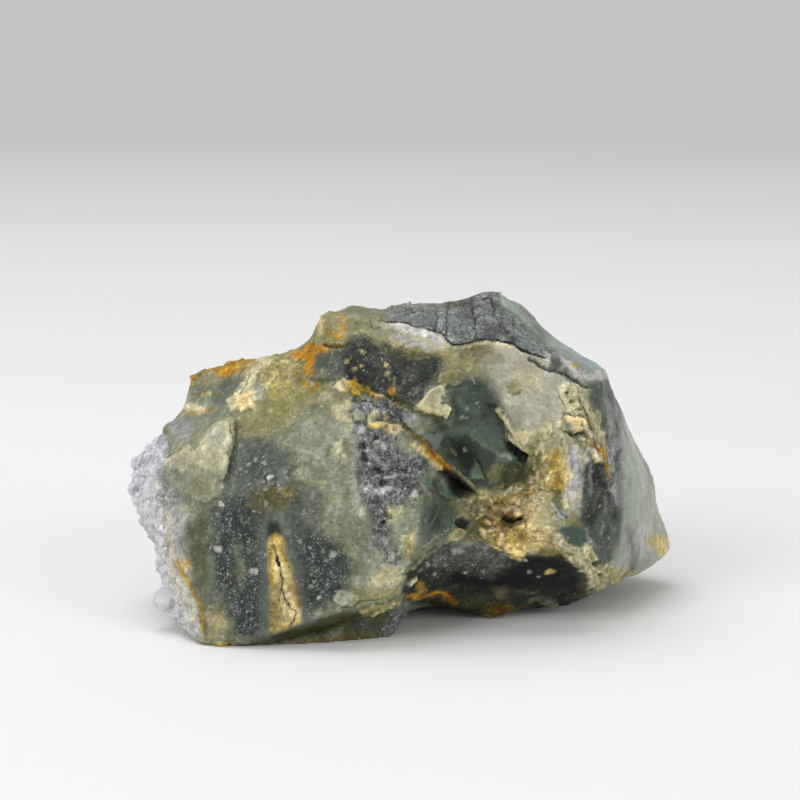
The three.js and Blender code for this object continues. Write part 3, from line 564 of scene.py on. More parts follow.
# the blunt end of the block behind the notch, and the orange stain in the notch
area("khaki", 0.9, 5, 2, "312,318 322,308 346,304 350,330 344,344 322,346 308,342")
area("moss", 0.8, 4, 2, "326,326 346,326 346,340 326,342")
streak("orange", 0.7, 4, 3, 2, "342,314 343,326 340,336")
streak("ochre", 0.7, 4, 3, 2, "330,334 344,336")
area("peach", 0.5, 4, 2, "316,312 322,310 322,332 316,334")
area("slate", 0.8, 10, 4, "312,350 346,346 346,378 330,380 312,372")
area("orange", 0.95, 4, 3, "307,340 322,343 328,350 314,355 311,374 304,376 303,360 290,358 284,355 "
    "298,350 305,348")
streak("rust", 0.95, 4, 2, 1, "324,344 335,345.5 348,345", raised=-0.3)
streak("dark_olive", 0.8, 4, 3, 3, "310,378 322,380 336,378")
spots_of("ochre", 0.8, 3, "306,383 318,384 313,388")

# the dark grainy face under the rind, with ochre chunks along its foot
area("khaki", 0.6, 10, 3, "344,318 372,318 380,336 370,344 350,342")
area("dark_rock", 0.95, 12, 4, "343,352 352,341 374,340 394,348 414,354 440,355 442,366 437,380 426,388 "
    "421,402 406,402 392,396 378,396 362,386 344,380")
area("olive", 0.5, 12, 4, "378,340 406,344 430,352 410,360 384,358")
area("grey_slate", 0.4, 12, 4, "372,350 392,350 392,386 376,386")
area("black", 0.6, 8, 3, "362,366 374,366 376,386 364,386")
area("deep_slate", 0.7, 12, 3, "396,362 438,358 434,380 416,390 400,382")
streak("black", 0.7, 5, 5, 2, "390,398 404,404 412,406", raised=-0.2)
shards(("grey_slate", "black_slate", "olive", "dark_rock"), 70, 5, 80, 60, "344,352 374,342 438,358 "
    "434,380 420,400 392,394 346,380", raised=0.1)
spots_of("golden_moss", 0.85, 1.8, "364,353 362,365 386,365 356,369 386,374 348,362")
area("plate", 0.9, 4, 2, "333,387 342,379 349,381 348,393 340,392", raised=0.3)
area("ochre", 0.5, 4, 2, "342,380 349,381 348,393 343,392")
area("ochre", 0.95, 3, 3, "347,382 355,377 362,384 367,388 362,394 352,396", raised=0.4)
streak("dark_olive", 0.85, 4, 3, 2, "365,388 372,397 378,402")
streak("ochre", 0.8, 3, 3, 3, "360,388 372,394 384,400 396,406 410,412", raised=0.4)
area("orange", 0.75, 4, 2, "388,391 393,388 398,390 396,396 390,396", raised=0.2)
streak("golden_moss", 0.5, 1.5, 2, 1, "394,378 395,388")
streak("golden_moss", 0.5, 1.5, 2, 1, "387,366 388,380")
area("granite", 0.9, 6, 4, "352,398 372,400 392,402 404,412 400,424 384,420 366,414 354,406")
area("pale_sage", 0.95, 4, 3, "353,411 360,405 367,412 364,421 356,419", raised=0.5)
area("plate", 0.9, 4, 3, "369,412 376,409 377,420 388,424 386,431 374,431 369,422", raised=0.3)
streak("rust", 0.7, 3, 3, 2, "374,419 382,420 390,418")
streak("ochre", 0.8, 5, 4, 2, "374,426 384,427 390,429", raised=0.3)
area("peach", 0.85, 4, 2, "388,427 399,426 404,431 396,437 388,433", raised=0.4)
area("olive", 0.8, 4, 2, "399,424 408,424 406,430 400,430")
area("cream", 0.5, 6, 3, "334,406 349,404 351,418 338,420")
area("lilac", 0.9, 6, 3, "402,412 412,409 420,414 414,423 404,422")
shards(("lilac", "granite", "black_slate", "golden_moss"), 50, 5, 30, 80, "350,398 394,402 402,420 384,424 "
    "354,404", raised=0.15)
streak("dark_olive", 0.9, 4, 3, 2, "396,402 410,410 420,414 434,418 448,424")

# the white band under the rind, and the pale plate over the scar
area("plate", 0.9, 8, 3, "378,324 398,320 416,329 440,333 449,344 448,352 430,351 408,346 394,346 384,336")
area("lilac", 0.6, 8, 3, "380,328 400,332 420,340 444,348 430,350 400,345")
streak("druse", 0.7, 6, 5, 1.5, "390,323 400,325 412,330 428,335 440,341")
streak("golden_moss", 0.6, 4, 4, 3, "392,344 410,348 430,353 446,356")
area("khaki", 0.6, 6, 3, "372,332 388,330 392,342 376,344")
area("olive", 0.4, 5, 3, "396,344 430,350 440,356 420,358 400,352")
area("khaki", 0.9, 8, 3, "442,350 456,348 476,356 484,372 470,380 456,372 442,368")
area("moss", 0.9, 4, 2, "437,384 441,372 452,369 460,372 465,378 459,386 446,387", raised=0.2)
area("plate", 0.97, 3, 2, "418,405 429,393 438,387 446,386 443,396 440,403 447,403 451,410 447,418 436,414 "
    "424,413", raised=0.25)
area("khaki", 0.5, 8, 3, "418,405 430,396 440,404 446,412 436,412 424,411")
streak("golden_moss", 0.7, 3, 2, 2, "420,409 432,412 442,414")

# the granular ridge
area("granite", 0.97, 7, 6, "358,420 372,431 390,434 404,440 410,456 424,461 428,467 420,480 419,496 "
    "410,506 396,508 388,522 386,538 394,556 396,566 388,562 380,545 372,520 368,495 366,470 360,456 "
    "356,436")
area("pale_sage", 0.6, 10, 4, "388,434 402,434 420,448 420,460 404,458 392,446")
shards(("lilac", "black_slate", "grey_slate", "granite", "slate"), 170, 5, 60, 80, "360,424 390,440 "
    "410,458 428,468 420,496 408,506 392,510 388,560 372,520 368,480 358,450", raised=0.15)
streak("quartz", 0.7, 5, 3, 3, "379,491 386,495 393,490", raised=0.2)
streak("quartz", 0.7, 4, 3, 3, "387,479 396,476", raised=0.2)
spots_of("quartz", 0.7, 3, "384,446 416,494 362,430 376,444")
spots_of("black", 0.75, 3, "365,455 366,460 383,484 384,523 391,516 378,470 386,514 362,446 "
    "376,438", raised=-0.2)
area("cream", 0.75, 6, 4, "390,509 399,506 404,518 400,528 392,520")
area("pale_sage", 0.8, 8, 4, "396,514 418,510 426,530 420,548 404,566 397,556 396,534")
area("golden_moss", 0.7, 7, 3, "404,536 418,534 417,552 408,558")
area("plate", 0.8, 7, 3, "330,443 336,440 342,449 347,460 336,456", raised=0.15)
streak("plate", 0.4, 5, 7, 4, "340,466 344,480 340,500")
streak("quartz", 0.4, 6, 7, 4, "352,436 356,462 357,490 360,516")
streak("plate", 0.45, 4, 5, 3, "344,430 350,452 350,476")
streak("quartz", 0.3, 5, 6, 4, "364,520 372,545 376,562")
streak("haze", 0.5, 6, 7, 3, "362,470 364,495 370,525")
area("pale_sage", 0.6, 10, 5, "334,466 350,464 352,490 338,492")
streak("quartz", 0.5, 3, 3, 2, "371,543 375,550")
streak("quartz", 0.6, 3, 3, 2, "386,541 389,550 392,558")
spots_of("quartz", 0.6, 3, "366,556 333,555")

# the glassy green scar, the chips in it, and the dark slot
area("bottle", 0.97, 7, 2, "452,392 468,376 478,378 488,384 497,398 501,414 511,432 521,446 530,458 "
    "520,474 508,490 490,492 470,482 452,468 440,454 424,436 430,424 450,426 454,410")
area("slate", 0.6, 9, 2, "446,386 462,372 472,384 462,402 452,408")
area("black", 0.5, 12, 2, "448,436 466,438 476,456 466,468 450,458")
# the paler band across the middle of the scar is painted sheen
area("haze", 0.6, 14, 3, "458,416 500,414 512,434 516,446 498,446 480,438 462,430")
streak("bottle_sheen", 0.6, 8, 10, 2, "446,432 464,429 480,438 496,450")
area("teal_slate", 0.45, 9, 2, "466,384 480,390 492,412 486,428 466,420 458,402")
streak("bottle_sheen", 0.5, 4, 4, 2, "458,398 466,408 480,414")
area("bottle_sheen", 0.45, 7, 2, "484,424 500,424 508,440 500,448 488,438")
area("teal_slate", 0.5, 10, 2, "480,418 500,420 508,440 492,438")
# two raised chips in the scar, painted paler as lit facets: painted highlight
area("bottle_sheen", 0.8, 6, 2, "498,452 509,451 513,460 505,464 496,459", raised=0.15)
streak("quartz", 0.6, 2, 3, 1, "502,455 507,454 510,458")
area("bottle_sheen", 0.9, 3, 1, "469,470 475,460 479,466 484,480 476,479 470,478", raised=0.35)
area("khaki", 0.5, 5, 1, "486,474 496,460 504,468 499,480 490,484")
area("dark_olive", 0.85, 4, 1, "499,470 509,460 520,468 516,480 506,488 495,485", raised=0.3)
streak("pale_sage", 0.3, 2, 4, 1.5, "470,436 485,446 500,455", raised=0.1)
# black in the slot between the scar and the pillow's rim: painted shadow over a shallow sunk groove
area("black", 0.85, 3, 1, "509,450 518,449 527,456 524,461 512,456", raised=-0.3)
area("black", 0.5, 8, 2, "448,440 462,444 476,456 480,470 466,470 452,456")
area("pale_sage", 0.5, 8, 3, "412,416 432,420 440,430 426,434 412,426")
area("deep_slate", 0.85, 5, 2, "431,418 447,420 451,428 440,430")
area("bottle", 0.5, 10, 2, "500,400 494,384 484,372 500,376 512,396")
streak("khaki", 0.6, 2, 2, 1, "440,432 448,444 456,456")
spots_of("quartz", 0.6, 1.4, "462,417 467,418 468,408 478,403 464,450")
area("black", 0.97, 4, 1, "438,472 447,476 460,483 472,490 479,498 470,500 458,497 448,487", raised=-0.5)
area("teal_slate", 0.9, 4, 1, "424,477 438,478 450,489 466,501 452,500 434,492 424,486", raised=0.2)
area("teal_slate", 0.8, 7, 3, "424,494 440,498 456,503 457,520 450,532 436,542 424,540 422,515")
area("black_slate", 0.7, 7, 2, "428,508 440,508 442,526 432,530")
# black under the bluish-green facet: painted shade
area("black", 0.6, 4, 2, "436,492 452,499 450,503 438,498")
streak("pale_sage", 0.7, 1.6, 1.6, 1, "424,546 432,541 442,534 450,528", raised=0.2)
streak("pale_sage", 0.4, 1.4, 1.6, 1, "426,534 434,520 440,506")
streak("quartz", 0.4, 1.4, 1.6, 1, "466,370 470,377 475,383")

# the orange vein's thin edge
streak("dark_olive", 0.85, 6, 4, 2, "404,426 420,438 434,452 448,466")
streak("honey", 0.5, 6, 4, 2, "414,444 426,455 440,468")
streak("olive", 0.9, 4, 4, 2, "404,425 412,430 420,440 430,450")
streak("ochre", 0.7, 7, 6, 2, "426,450 436,460 446,468")
streak("orange", 0.95, 4, 4, 2, "430,452 440,461 450,470 457,477")
streak("rust", 0.9, 2, 2.5, 1.5, "414,434 426,446 438,460 448,470")
streak("olive", 0.7, 3, 3, 2.5, "452,469 462,476 471,483 484,492", raised=0.2)
area("black", 0.95, 4, 1, "446,466 456,472 470,484 482,497 470,497 452,480")

# the white pillow and the brown stain above it
area("milk", 0.98, 8, 2, "476,350 500,343 520,350 540,361 560,371 574,384 578,400 566,412 563,432 546,442 "
    "530,442 515,436 508,420 500,405 496,390 484,366")
area("rust", 0.5, 7, 3, "468,346 488,342 492,352 478,360 470,356")
area("olive", 0.45, 10, 3, "476,346 500,344 506,362 490,370 480,362")
area("haze", 0.5, 14, 2, "476,364 492,378 502,400 514,424 504,424 486,400")
streak("cream", 0.8, 3, 2, 2, "497,410 505,420 511,430 517,440 525,448 532,453", raised=0.3)
# black in the slot below the pillow's lower edge: painted shadow over a shallow sunk groove
area("black", 0.85, 4, 2, "504,438 514,445 526,457 520,463 510,454", raised=-0.4)
streak("cream", 0.6, 3, 2, 2, "452,348 470,347 486,343 504,344 522,352")
area("peach", 0.25, 14, 3, "510,366 536,366 540,386 516,388")
area("khaki", 0.9, 4, 1, "507,384 512,378 520,381 521,394 516,396 507,390")
streak("olive", 0.7, 2, 2, 1, "508,391 516,395 521,391")
area("cream", 0.7, 6, 3, "513,432 530,430 546,432 552,446 534,446 520,440", raised=0.15)
area("olive", 0.6, 5, 2, "531,446 541,440 540,456 530,458")
area("cream", 0.6, 10, 4, "576,384 590,392 600,420 602,436 590,436 582,414")
area("cream", 0.85, 7, 4, "556,392 564,380 576,388 584,402 580,414 566,414 560,404", raised=0.2)
area("crumbs", 0.97, 4, 4, "572,392 582,396 592,410 600,432 606,456 608,480 600,480 592,462 584,440 "
    "576,424", raised=0.4)
shards(("khaki", "crumbs", "rust"), 36, 6, 70, 40, "562,384 578,390 600,430 606,470 598,462 "
    "576,420", raised=0.12)
spots_of("rust", 0.5, 1.8, "565,392 570,402 577,410 592,444", raised=-0.15)
streak("plate", 0.6, 4, 4, 3, "580,404 590,420 597,440 602,456")
area("peach", 0.9, 3, 3, "563,418 572,417 582,422 581,430 570,428", raised=0.6)
# dark olive under the raised peach block: painted shadow
area("dark_olive", 0.7, 4, 3, "566,430 584,428 587,436 570,436", raised=-0.2)

# the ribs of clear quartz, their orange core, and the two flat chips below
area("khaki", 0.9, 8, 4, "514,430 535,433 552,438 560,450 556,470 556,500 552,524 540,520 530,508 512,502 "
    "494,498 500,490 516,486 530,478 534,464 524,450")
area("cream", 0.8, 8, 4, "512,432 526,430 534,436 530,446 524,442")
area("cream", 0.95, 8, 4, "542,426 564,424 570,438 562,453 546,452")
streak("crumbs", 0.6, 6, 6, 3, "546,434 556,436 564,444")
shards(("plate", "quartz", "cream", "khaki"), 26, 5, 80, 30, "538,424 570,424 572,448 540,450")
area("olive", 0.6, 7, 3, "529,444 541,440 542,456 536,466 530,458")
area("dark_olive", 0.75, 7, 3, "514,470 524,464 536,468 538,476 526,482 514,484")
area("golden_moss", 0.8, 7, 4, "534,470 548,464 552,500 548,530 530,530 520,500 528,488")
shards(("cream", "crumbs", "khaki", "peach", "olive"), 60, 6, 98, 22, "532,440 552,440 552,490 540,500 "
    "520,500 526,470", raised=0.12)
shards(("golden_moss", "dark_olive", "cream", "cream"), 40, 5, 150, 40, "496,486 516,484 540,476 540,500 "
    "500,502", raised=0.12)
area("pale_sage", 0.95, 7, 3, "563,430 578,434 587,446 584,466 581,480 584,498 578,512 569,518 560,508 "
    "558,496 566,480 564,460")
area("plate", 0.6, 7, 3, "565,436 578,438 585,450 582,466 580,480 582,498 574,510 564,504 566,480 566,460")
area("quartz", 0.9, 7, 3, "570,452 582,452 582,478 578,494 568,498 568,478")
shards(("quartz", "plate", "cream", "druse"), 44, 7, 92, 12, "564,432 588,444 582,480 584,498 572,512 "
    "562,500 568,470", raised=0.1)
streak("druse", 0.8, 5, 6, 2, "574,452 577,468 575,484 573,498")
streak("cream", 0.7, 4, 5, 2, "566,506 574,500 581,494")
area("honey", 0.97, 7, 4, "549,452 560,450 568,462 571,476 566,490 560,494 551,486 548,470")
area("ochre", 0.8, 6, 4, "550,458 559,456 561,470 552,474")
streak("ochre", 0.75, 6, 5, 3, "557,474 558,482 561,489")
streak("peach", 0.8, 5, 5, 2, "564,458 566,470 567,484")
area("olive", 0.75, 6, 2, "551,488 561,490 564,504 562,512 556,506")
area("plate", 0.8, 8, 3, "538,488 549,494 550,512 548,528 540,520")
area("lilac", 0.95, 3, 1, "547,500 551,499 559,509 566,518 560,524 553,528 549,518")
streak("black", 0.85, 1.6, 1.6, 0.7, "551,500 556,508 561,515 567,518", raised=-0.3)

# the crumbly ochre hollow
area("golden_moss", 0.8, 8, 4, "484,494 500,490 512,500 500,508 480,514 462,508 470,500")
area("dark_olive", 0.8, 5, 3, "510,478 520,464 530,462 530,474 520,483")
area("khaki", 0.8, 10, 5, "452,500 480,498 494,504 488,516 476,518 456,512")
area("gold", 0.97, 9, 5, "490,500 512,496 530,490 546,484 550,498 549,518 552,532 562,546 566,552 550,556 "
    "530,558 512,556 500,548 484,538 476,526 480,514")
area("khaki", 0.6, 9, 5, "502,500 526,498 528,510 510,514")
area("cream", 0.8, 8, 3, "528,500 540,496 548,508 548,530 544,542 534,536 530,520")
area("peach", 0.8, 8, 4, "506,544 532,540 540,550 528,558 508,555")
area("ochre", 0.3, 8, 5, "508,528 530,532 528,544 512,542")
area("rust", 0.8, 7, 4, "498,510 508,510 528,512 530,518 520,527 504,528")
area("rust", 0.7, 5, 3, "492,497 506,497 508,503 496,504", raised=-0.2)
area("olive", 0.9, 9, 5, "470,514 488,510 502,522 498,536 482,540 470,530")
area("dark_olive", 0.5, 9, 5, "474,512 490,508 506,514 502,528 484,534 474,526")
shards(("cream", "gold", "peach", "rust", "honey", "crumbs"), 130, 6, 20, 80, "486,500 512,496 534,488 "
    "550,500 552,534 562,548 530,557 508,554 484,538 476,520", raised=0.15)
shards(("pale_sage", "dark_olive", "cream", "khaki"), 50, 5, 25, 50, "452,498 480,496 496,504 486,520 "
    "458,512", raised=0.15)
streak("black", 0.9, 3, 3, 2, "508,517 515,519 521,518", raised=-0.9)
area("moss", 0.7, 5, 3, "460,510 474,510 476,520 464,518")
area("black", 0.9, 4, 1, "455,521 462,516 471,520 467,528 460,528", raised=-0.5)
area("khaki", 0.9, 4, 1, "446,541 450,533 458,528 468,530 464,538 456,541", raised=0.3)
streak("pale_sage", 0.6, 1.5, 1.5, 0.5, "467,530 463,537 455,540")

# the slot's dark edge, and the stains and pale chips that lie over the hollow's crumbs
area("black", 0.97, 5, 1, "444,468 452,472 462,480 474,488 480,498 470,499 458,495 448,486 "
    "444,476", raised=-0.3)
streak("khaki", 0.8, 2.5, 2, 2, "456,472 466,480 475,488 482,494", raised=0.2)
area("rust", 0.7, 8, 4, "484,504 500,506 514,513 531,516 528,523 512,529 496,528 486,518")
area("dark_olive", 0.85, 6, 4, "496,509 512,512 530,516 526,524 506,526")
streak("black", 0.5, 3, 3, 2, "508,517 515,519 523,518")
streak("olive", 0.6, 3, 3, 2, "520,486 534,484")
streak("rust", 0.6, 3, 3, 2, "494,499 504,501")
area("ochre", 0.3, 9, 5, "506,530 532,534 534,550 512,552")
streak("olive", 0.6, 5, 5, 2, "540,553 552,554 564,556")
streak("cream", 0.8, 3, 3, 2, "504,508 514,506 521,511")
streak("cream", 0.9, 4, 5, 2, "530,518 530,530 536,540")
streak("plate", 0.8, 6, 7, 3, "539,496 543,510 545,528")
streak("peach", 0.7, 5, 6, 3, "530,514 532,530 540,544")
streak("plate", 0.7, 5, 6, 3, "538,484 546,496 549,510")
streak("pale_sage", 0.6, 4, 5, 2, "548,520 552,534 562,542")
area("bottle", 0.8, 6, 2, "426,432 440,430 452,446 448,462 434,450")

# the dark brow and underside on the right
area("black_slate", 0.97, 5, 3, "402,572 416,560 432,552 452,546 480,543 505,551 520,559 545,557 565,556 "
    "580,565 592,578 592,594 570,610 545,610 520,605 500,620 470,612 440,606 420,604 404,604 404,590")
# a lilac-grey band across the brow: partly the stone's own grey, partly painted sheen
area("grey_slate", 0.9, 7, 4, "430,553 452,545 480,542 506,552 512,564 494,576 470,572 440,572 424,566")
area("black", 0.98, 8, 3, "506,572 522,561 545,559 565,561 580,571 590,586 574,592 540,588 500,590 470,586 "
    "450,580 456,572 490,580")
area("khaki", 0.5, 5, 3, "493,588 506,586 506,598 496,598")
area("olive", 0.6, 8, 4, "430,594 470,592 496,600 490,612 460,608 434,604")
area("quartz", 0.6, 3, 2, "452,550 463,547 463,551 454,554")
area("cream", 0.8, 2.5, 1, "406,583 416,576 416,580 409,587", raised=0.3)
# a paler haze streak on the brow: painted sheen
streak("haze", 0.5, 5, 6, 3, "440,560 466,556 490,560")
area("black", 0.9, 8, 3, "510,570 540,564 566,564 584,576 580,588 550,586 516,582")
spots_of("quartz", 0.7, 1.4, "465,573 539,577 420,570 427,566 434,574 445,566 413,567 482,570 530,571")
spots_of("honey", 0.9, 2.6, "549,573 552,573")
area("ochre", 0.85, 4, 2, "417,583 424,583 427,590 422,594 417,590")
streak("orange", 0.85, 5, 3, 2, "408,598 425,596 440,594 449,597 456,602")
area("rust", 0.75, 5, 3, "482,612 495,602 510,604 522,605 512,614 500,620 488,620")
streak("ochre", 0.7, 3, 3, 2, "484,617 500,618 514,610")
area("khaki", 0.6, 3, 1, "532,599 546,601 560,607 546,607")
streak("pale_sage", 0.5, 3, 4, 2, "528,601 540,598 556,604")
streak("olive", 0.7, 4, 5, 2, "504,594 520,592 540,594")
area("olive", 0.6, 7, 3, "578,570 590,580 592,594 580,598 576,586")
area("moss", 0.75, 5, 3, "538,553 552,549 570,552 578,560 560,556 544,558")
streak("rust", 0.7, 3, 3, 2, "566,556 578,561 588,570")
streak("honey", 0.85, 4, 3, 2, "508,550 522,555 536,552")
streak("khaki", 0.6, 2, 2, 1, "402,571 412,567 422,558 436,551", raised=0.2)

# the dark broken right-hand rim, the crumbs at its foot, and the orange line down it
area("slate", 0.97, 6, 3, "594,384 606,376 614,392 622,415 623,440 623,500 620,530 608,562 592,562 588,545 "
    "583,520 584,500 585,470 600,468 602,455 598,440 596,420 592,400")
area("lilac", 0.55, 6, 4, "604,400 618,410 622,440 621,505 610,510 606,470 606,440")
streak("quartz", 0.5, 4, 4, 3, "611,440 614,462 612,480 613,500")
streak("pale_sage", 0.5, 3, 3, 2, "604,400 610,420 612,436")
streak("quartz", 0.35, 3, 3, 2, "606,480 608,496 605,512")
area("black_slate", 0.7, 8, 4, "584,462 596,468 603,482 598,506 592,522 583,516")
area("grey_slate", 0.5, 8, 3, "586,478 594,480 594,510 586,506")
streak("black", 0.7, 4, 5, 2, "603,484 602,500 598,512")
streak("black", 0.6, 4, 5, 2, "612,510 611,524 606,536")
streak("black", 0.6, 4, 5, 2, "594,516 592,528")
streak("quartz", 0.45, 2.5, 3, 2, "588,468 591,480 589,494")
streak("pale_sage", 0.4, 2.5, 3, 2, "596,492 594,504 590,516")
streak("black", 0.6, 3, 4, 2, "597,474 596,486")
streak("quartz", 0.35, 2.5, 3, 2, "604,524 600,534")
shards(("black_slate", "grey_slate", "slate"), 60, 7, 96, 14, "585,466 604,468 618,400 622,500 616,540 "
    "606,530 590,535 584,510", raised=0.05)
area("deep_slate", 0.95, 5, 2, "594,546 600,538 607,538 608,552 602,561 592,560 590,552")
streak("quartz", 0.45, 2.5, 4, 2, "586,528 588,538 594,546")
streak("haze", 0.7, 3, 4, 2, "604,512 598,522 594,540")
area("teal_slate", 0.97, 3, 1.5, "557,531 566,525 578,523 586,529 587,546 572,543 564,537")
area("crumbs", 0.97, 4, 4, "552,536 563,544 574,549 582,544 589,548 592,560 601,568 612,562 622,568 "
    "612,582 598,592 588,594 589,578 578,565 564,553")
streak("moss", 0.8, 4, 3, 2, "552,529 562,522 574,518 580,521")
area("khaki", 0.8, 5, 3, "570,512 577,508 580,520 572,522")
shards(("crumbs", "khaki", "cream"), 50, 7, 45, 30, "556,538 574,548 590,548 600,568 622,568 608,584 "
    "590,592 584,574 566,554", raised=0.2)
streak("crumbs", 0.9, 4, 4, 2, "546,528 560,538 574,548", raised=0.15)
streak("cream", 0.9, 4, 5, 2, "576,552 586,566 594,586", raised=0.15)
area("black", 0.85, 3, 1.5, "592,562 599,562 598,569 594,568", raised=-0.5)
spots_of("black", 0.8, 2.2, "602,577", raised=-0.3)
streak("ochre", 0.8, 4, 4, 3, "588,436 596,450 602,462 605,474")
streak("orange", 0.7, 4, 3, 3, "593,444 599,455 603,470")
spots_of("black", 0.8, 3, "598,466 600,484")

# the smooth green end face
area("jade", 0.97, 5, 1, "622,404 640,436 660,480 676,530 676,560 640,582 600,594 606,572 618,548 622,520 "
    "623,470")
streak("pale_sage", 0.5, 10, 9, 1, "632,425 646,455 655,485 664,520")
streak("haze", 0.2, 8, 9, 3, "645,450 654,480 662,512")
area("haze", 0.3, 14, 3, "622,440 636,450 640,500 634,540 622,560 616,540 624,500")
streak("slate", 0.6, 6, 5, 2, "628,528 634,548 634,566")
area("quartz", 0.5, 8, 3, "640,526 652,530 650,556 640,560")
area("honey", 0.8, 6, 2, "648,540 658,534 670,537 670,554 660,555 652,548")
area("golden_moss", 0.7, 7, 4, "606,568 622,566 640,574 624,584 606,586")

# the weathered rind, and the cool smooth facet behind it
area("khaki", 0.7, 5, 3, "342,304 392,306 394,318 362,318 340,314")
area("slate", 0.4, 6, 3, "344,304 392,306 390,316 350,314")
area("rind", 0.97, 4, 3, "384,318 390,308 410,300 440,298 465,294 482,288 500,288 501,304 515,317 534,331 "
    "548,346 562,358 548,358 535,352 518,343 500,338 482,340 462,345 450,343 444,336 430,330 412,326 "
    "398,320")
area("pale_sage", 0.5, 4, 2, "396,306 440,300 440,309 400,312")
area("olive", 0.6, 4, 2, "440,301 466,298 462,306 444,308")
area("dark_rock", 0.6, 5, 4, "474,330 500,322 524,340 510,342 494,338 478,340")
area("dark_rock", 0.5, 5, 4, "454,300 474,298 480,316 470,326 462,312")
area("teal", 0.97, 4, 1, "500,288 514,296 536,314 548,332 568,344 604,358 606,372 590,374 578,368 562,357 "
    "548,345 534,330 516,317 503,306")
area("quartz", 0.5, 4, 2, "500,290 507,296 508,308 502,304")
area("haze", 0.5, 6, 2, "520,305 535,316 545,332 534,328 522,316")
area("olive", 0.5, 6, 2, "532,322 544,330 552,342 542,340")
streak("quartz", 0.95, 9, 4, 1.5, "546,359 560,360 572,366 582,375 594,378 606,374")
streak("slate", 0.85, 4, 3, 1.5, "530,359 540,366 552,370 564,372 576,381 586,388", raised=-0.2)
area("slate", 0.9, 4, 2, "550,356 560,356 562,366 556,370 549,366")
area("ochre", 0.9, 2.5, 2, "571,361 579,364 579,371 574,368")
area("slate", 0.8, 6, 2, "584,384 598,380 604,392 596,404 588,394")

# cracks: in the vein, round and over the rind, and fine ones in the faces
cut(1, 1.7, "274,547 276,552 277,560 279,572 281,580 281,590 284,594 288,602 290,608 295,612 294,620 "
    "292,625")
cut(1, 2.8, "276,558 277,566")
cut(0.85, 1.1, "280,590 280,600 281,612 283,617")
cut(0.7, 0.9, "288,600 286,610 288,618")
cut(1, 2.4, "380,320 395,321 405,322 412,325 425,328 437,330 443,334 450,342 455,345 470,343 478,341 "
    "485,338 495,337")
cut(1, 3.4, "492,337 505,341 515,342 520,346 527,350 535,354 545,357")
cut(0.9, 1.6, "436,312 437,330")
cut(0.9, 1.6, "448,305 446,318 448,335")
cut(0.9, 1.8, "471,300 474,318 475,340")
cut(0.8, 1.5, "490,315 495,313 497,320")
cut(0.8, 1.5, "500,325 508,330 515,338")
cut(0.8, 1.5, "512,320 520,328 526,330")
cut(0.8, 1.4, "400,308 418,312 436,310")
cut(0.7, 1.3, "455,312 462,322 460,334")
cut(0.9, 1.8, "483,298 492,298 494,310")
cut(0.7, 1.6, "230,424 231,440 228,455 229,465 226,475 224,488")
cut(0.7, 1.6, "213,498 220,498 226,503")
cut(0.8, 1.8, "533,360 540,366 550,370 560,370 565,372 575,379 582,386")
cut(0.7, 1.5, "430,490 445,497 455,500")
cut(0.9, 2, "561,430 572,433 584,432")
cut(0.8, 1.6, "419,411 436,416 448,420 453,412 448,404")
cut(0.8, 1.6, "333,600 343,608 354,606 362,601 378,600")
cut(0.8, 1.5, "558,396 566,410 562,420")
cut(0.8, 1.5, "576,400 586,418 592,438 598,456")
cut(0.8, 1.6, "362,400 376,405 388,414 402,422 412,430")
cut(0.7, 1.4, "252,371 247,384 241,394")
cut(0.7, 1.3, "340,380 350,394 362,397")
cut(0.8, 1.5, "440,372 436,384 447,388 460,386")
cut(0.7, 1.4, "478,532 490,545 506,553 530,559")

# ---- The skin's relief ---------------------------------------------------------------------------
# Broken stone is chipped in small flat facets all over, deep in crumbly minerals and faint in glassy ones.
# Thin plates stand proud and cracks cut in. Arrises get a painted highlight and hollows a painted shade.
FACETS = (
    # span, depth, depth in crumbly minerals
    (4.2 * MM, 0.20 * MM, 0.40 * MM),
    (1.9 * MM, 0.14 * MM, 0.60 * MM),
    (0.95 * MM, 0.07 * MM, 0.25 * MM),
)
FACET_TILT = 1.5
GLASSY_DEPTH = 0.25  # the share of a facet's depth that is left in a glassy mineral
DULL_GRAIN = (0.05, 0.35)  # from glassy to dull
FACET_TINTS = (0.10, 0.6)  # how much the facets differ in shade: grainy minerals, crumbly ones
HEIGHT_LOT, TILT_LOT, SHADE_LOT = 5.1, 7.3, 9.7  # these only keep a facet's draws apart
GRAIN_SPAN, GRAIN_DEPTH = 0.6 * MM, 0.05 * MM
# painted highlight on arrises and painted shade in hollows: how far the skin is smoothed to find them, and
# how strong they are
SMOOTHING_ROUNDS = 2
ARRIS_HIGHLIGHT, BRIGHTEST_ARRIS_HIGHLIGHT = 5.0 / MM, 0.45
HOLLOW_SHADE, DEEPEST_HOLLOW_SHADE = 2.2 / MM, -0.5
HALF = Vector((0.5, 0.5, 0.5))


def chipped(points, span):
    """Flat facets, one to each span, that meet in arrises; and a number of its own for each facet."""
    heights = np.empty(len(points))
    lots = np.empty(len(points))
    for index, point in enumerate(points):
        point = Vector(point) / span
        _, middles = noise.voronoi(point)
        heights[index] = min(
            noise.cell(middle * HEIGHT_LOT)
            + FACET_TILT * (noise.cell_vector(middle * TILT_LOT) - HALF).dot(point - middle)
            for middle in middles
        )
        lots[index] = noise.cell(middles[0] * SHADE_LOT)
    return heights - heights.mean(), lots


def shade(shares):
    """Makes the minerals lighter or darker at each corner."""
    for layer in (colour, mottle):
        layer *= shares[:, None]


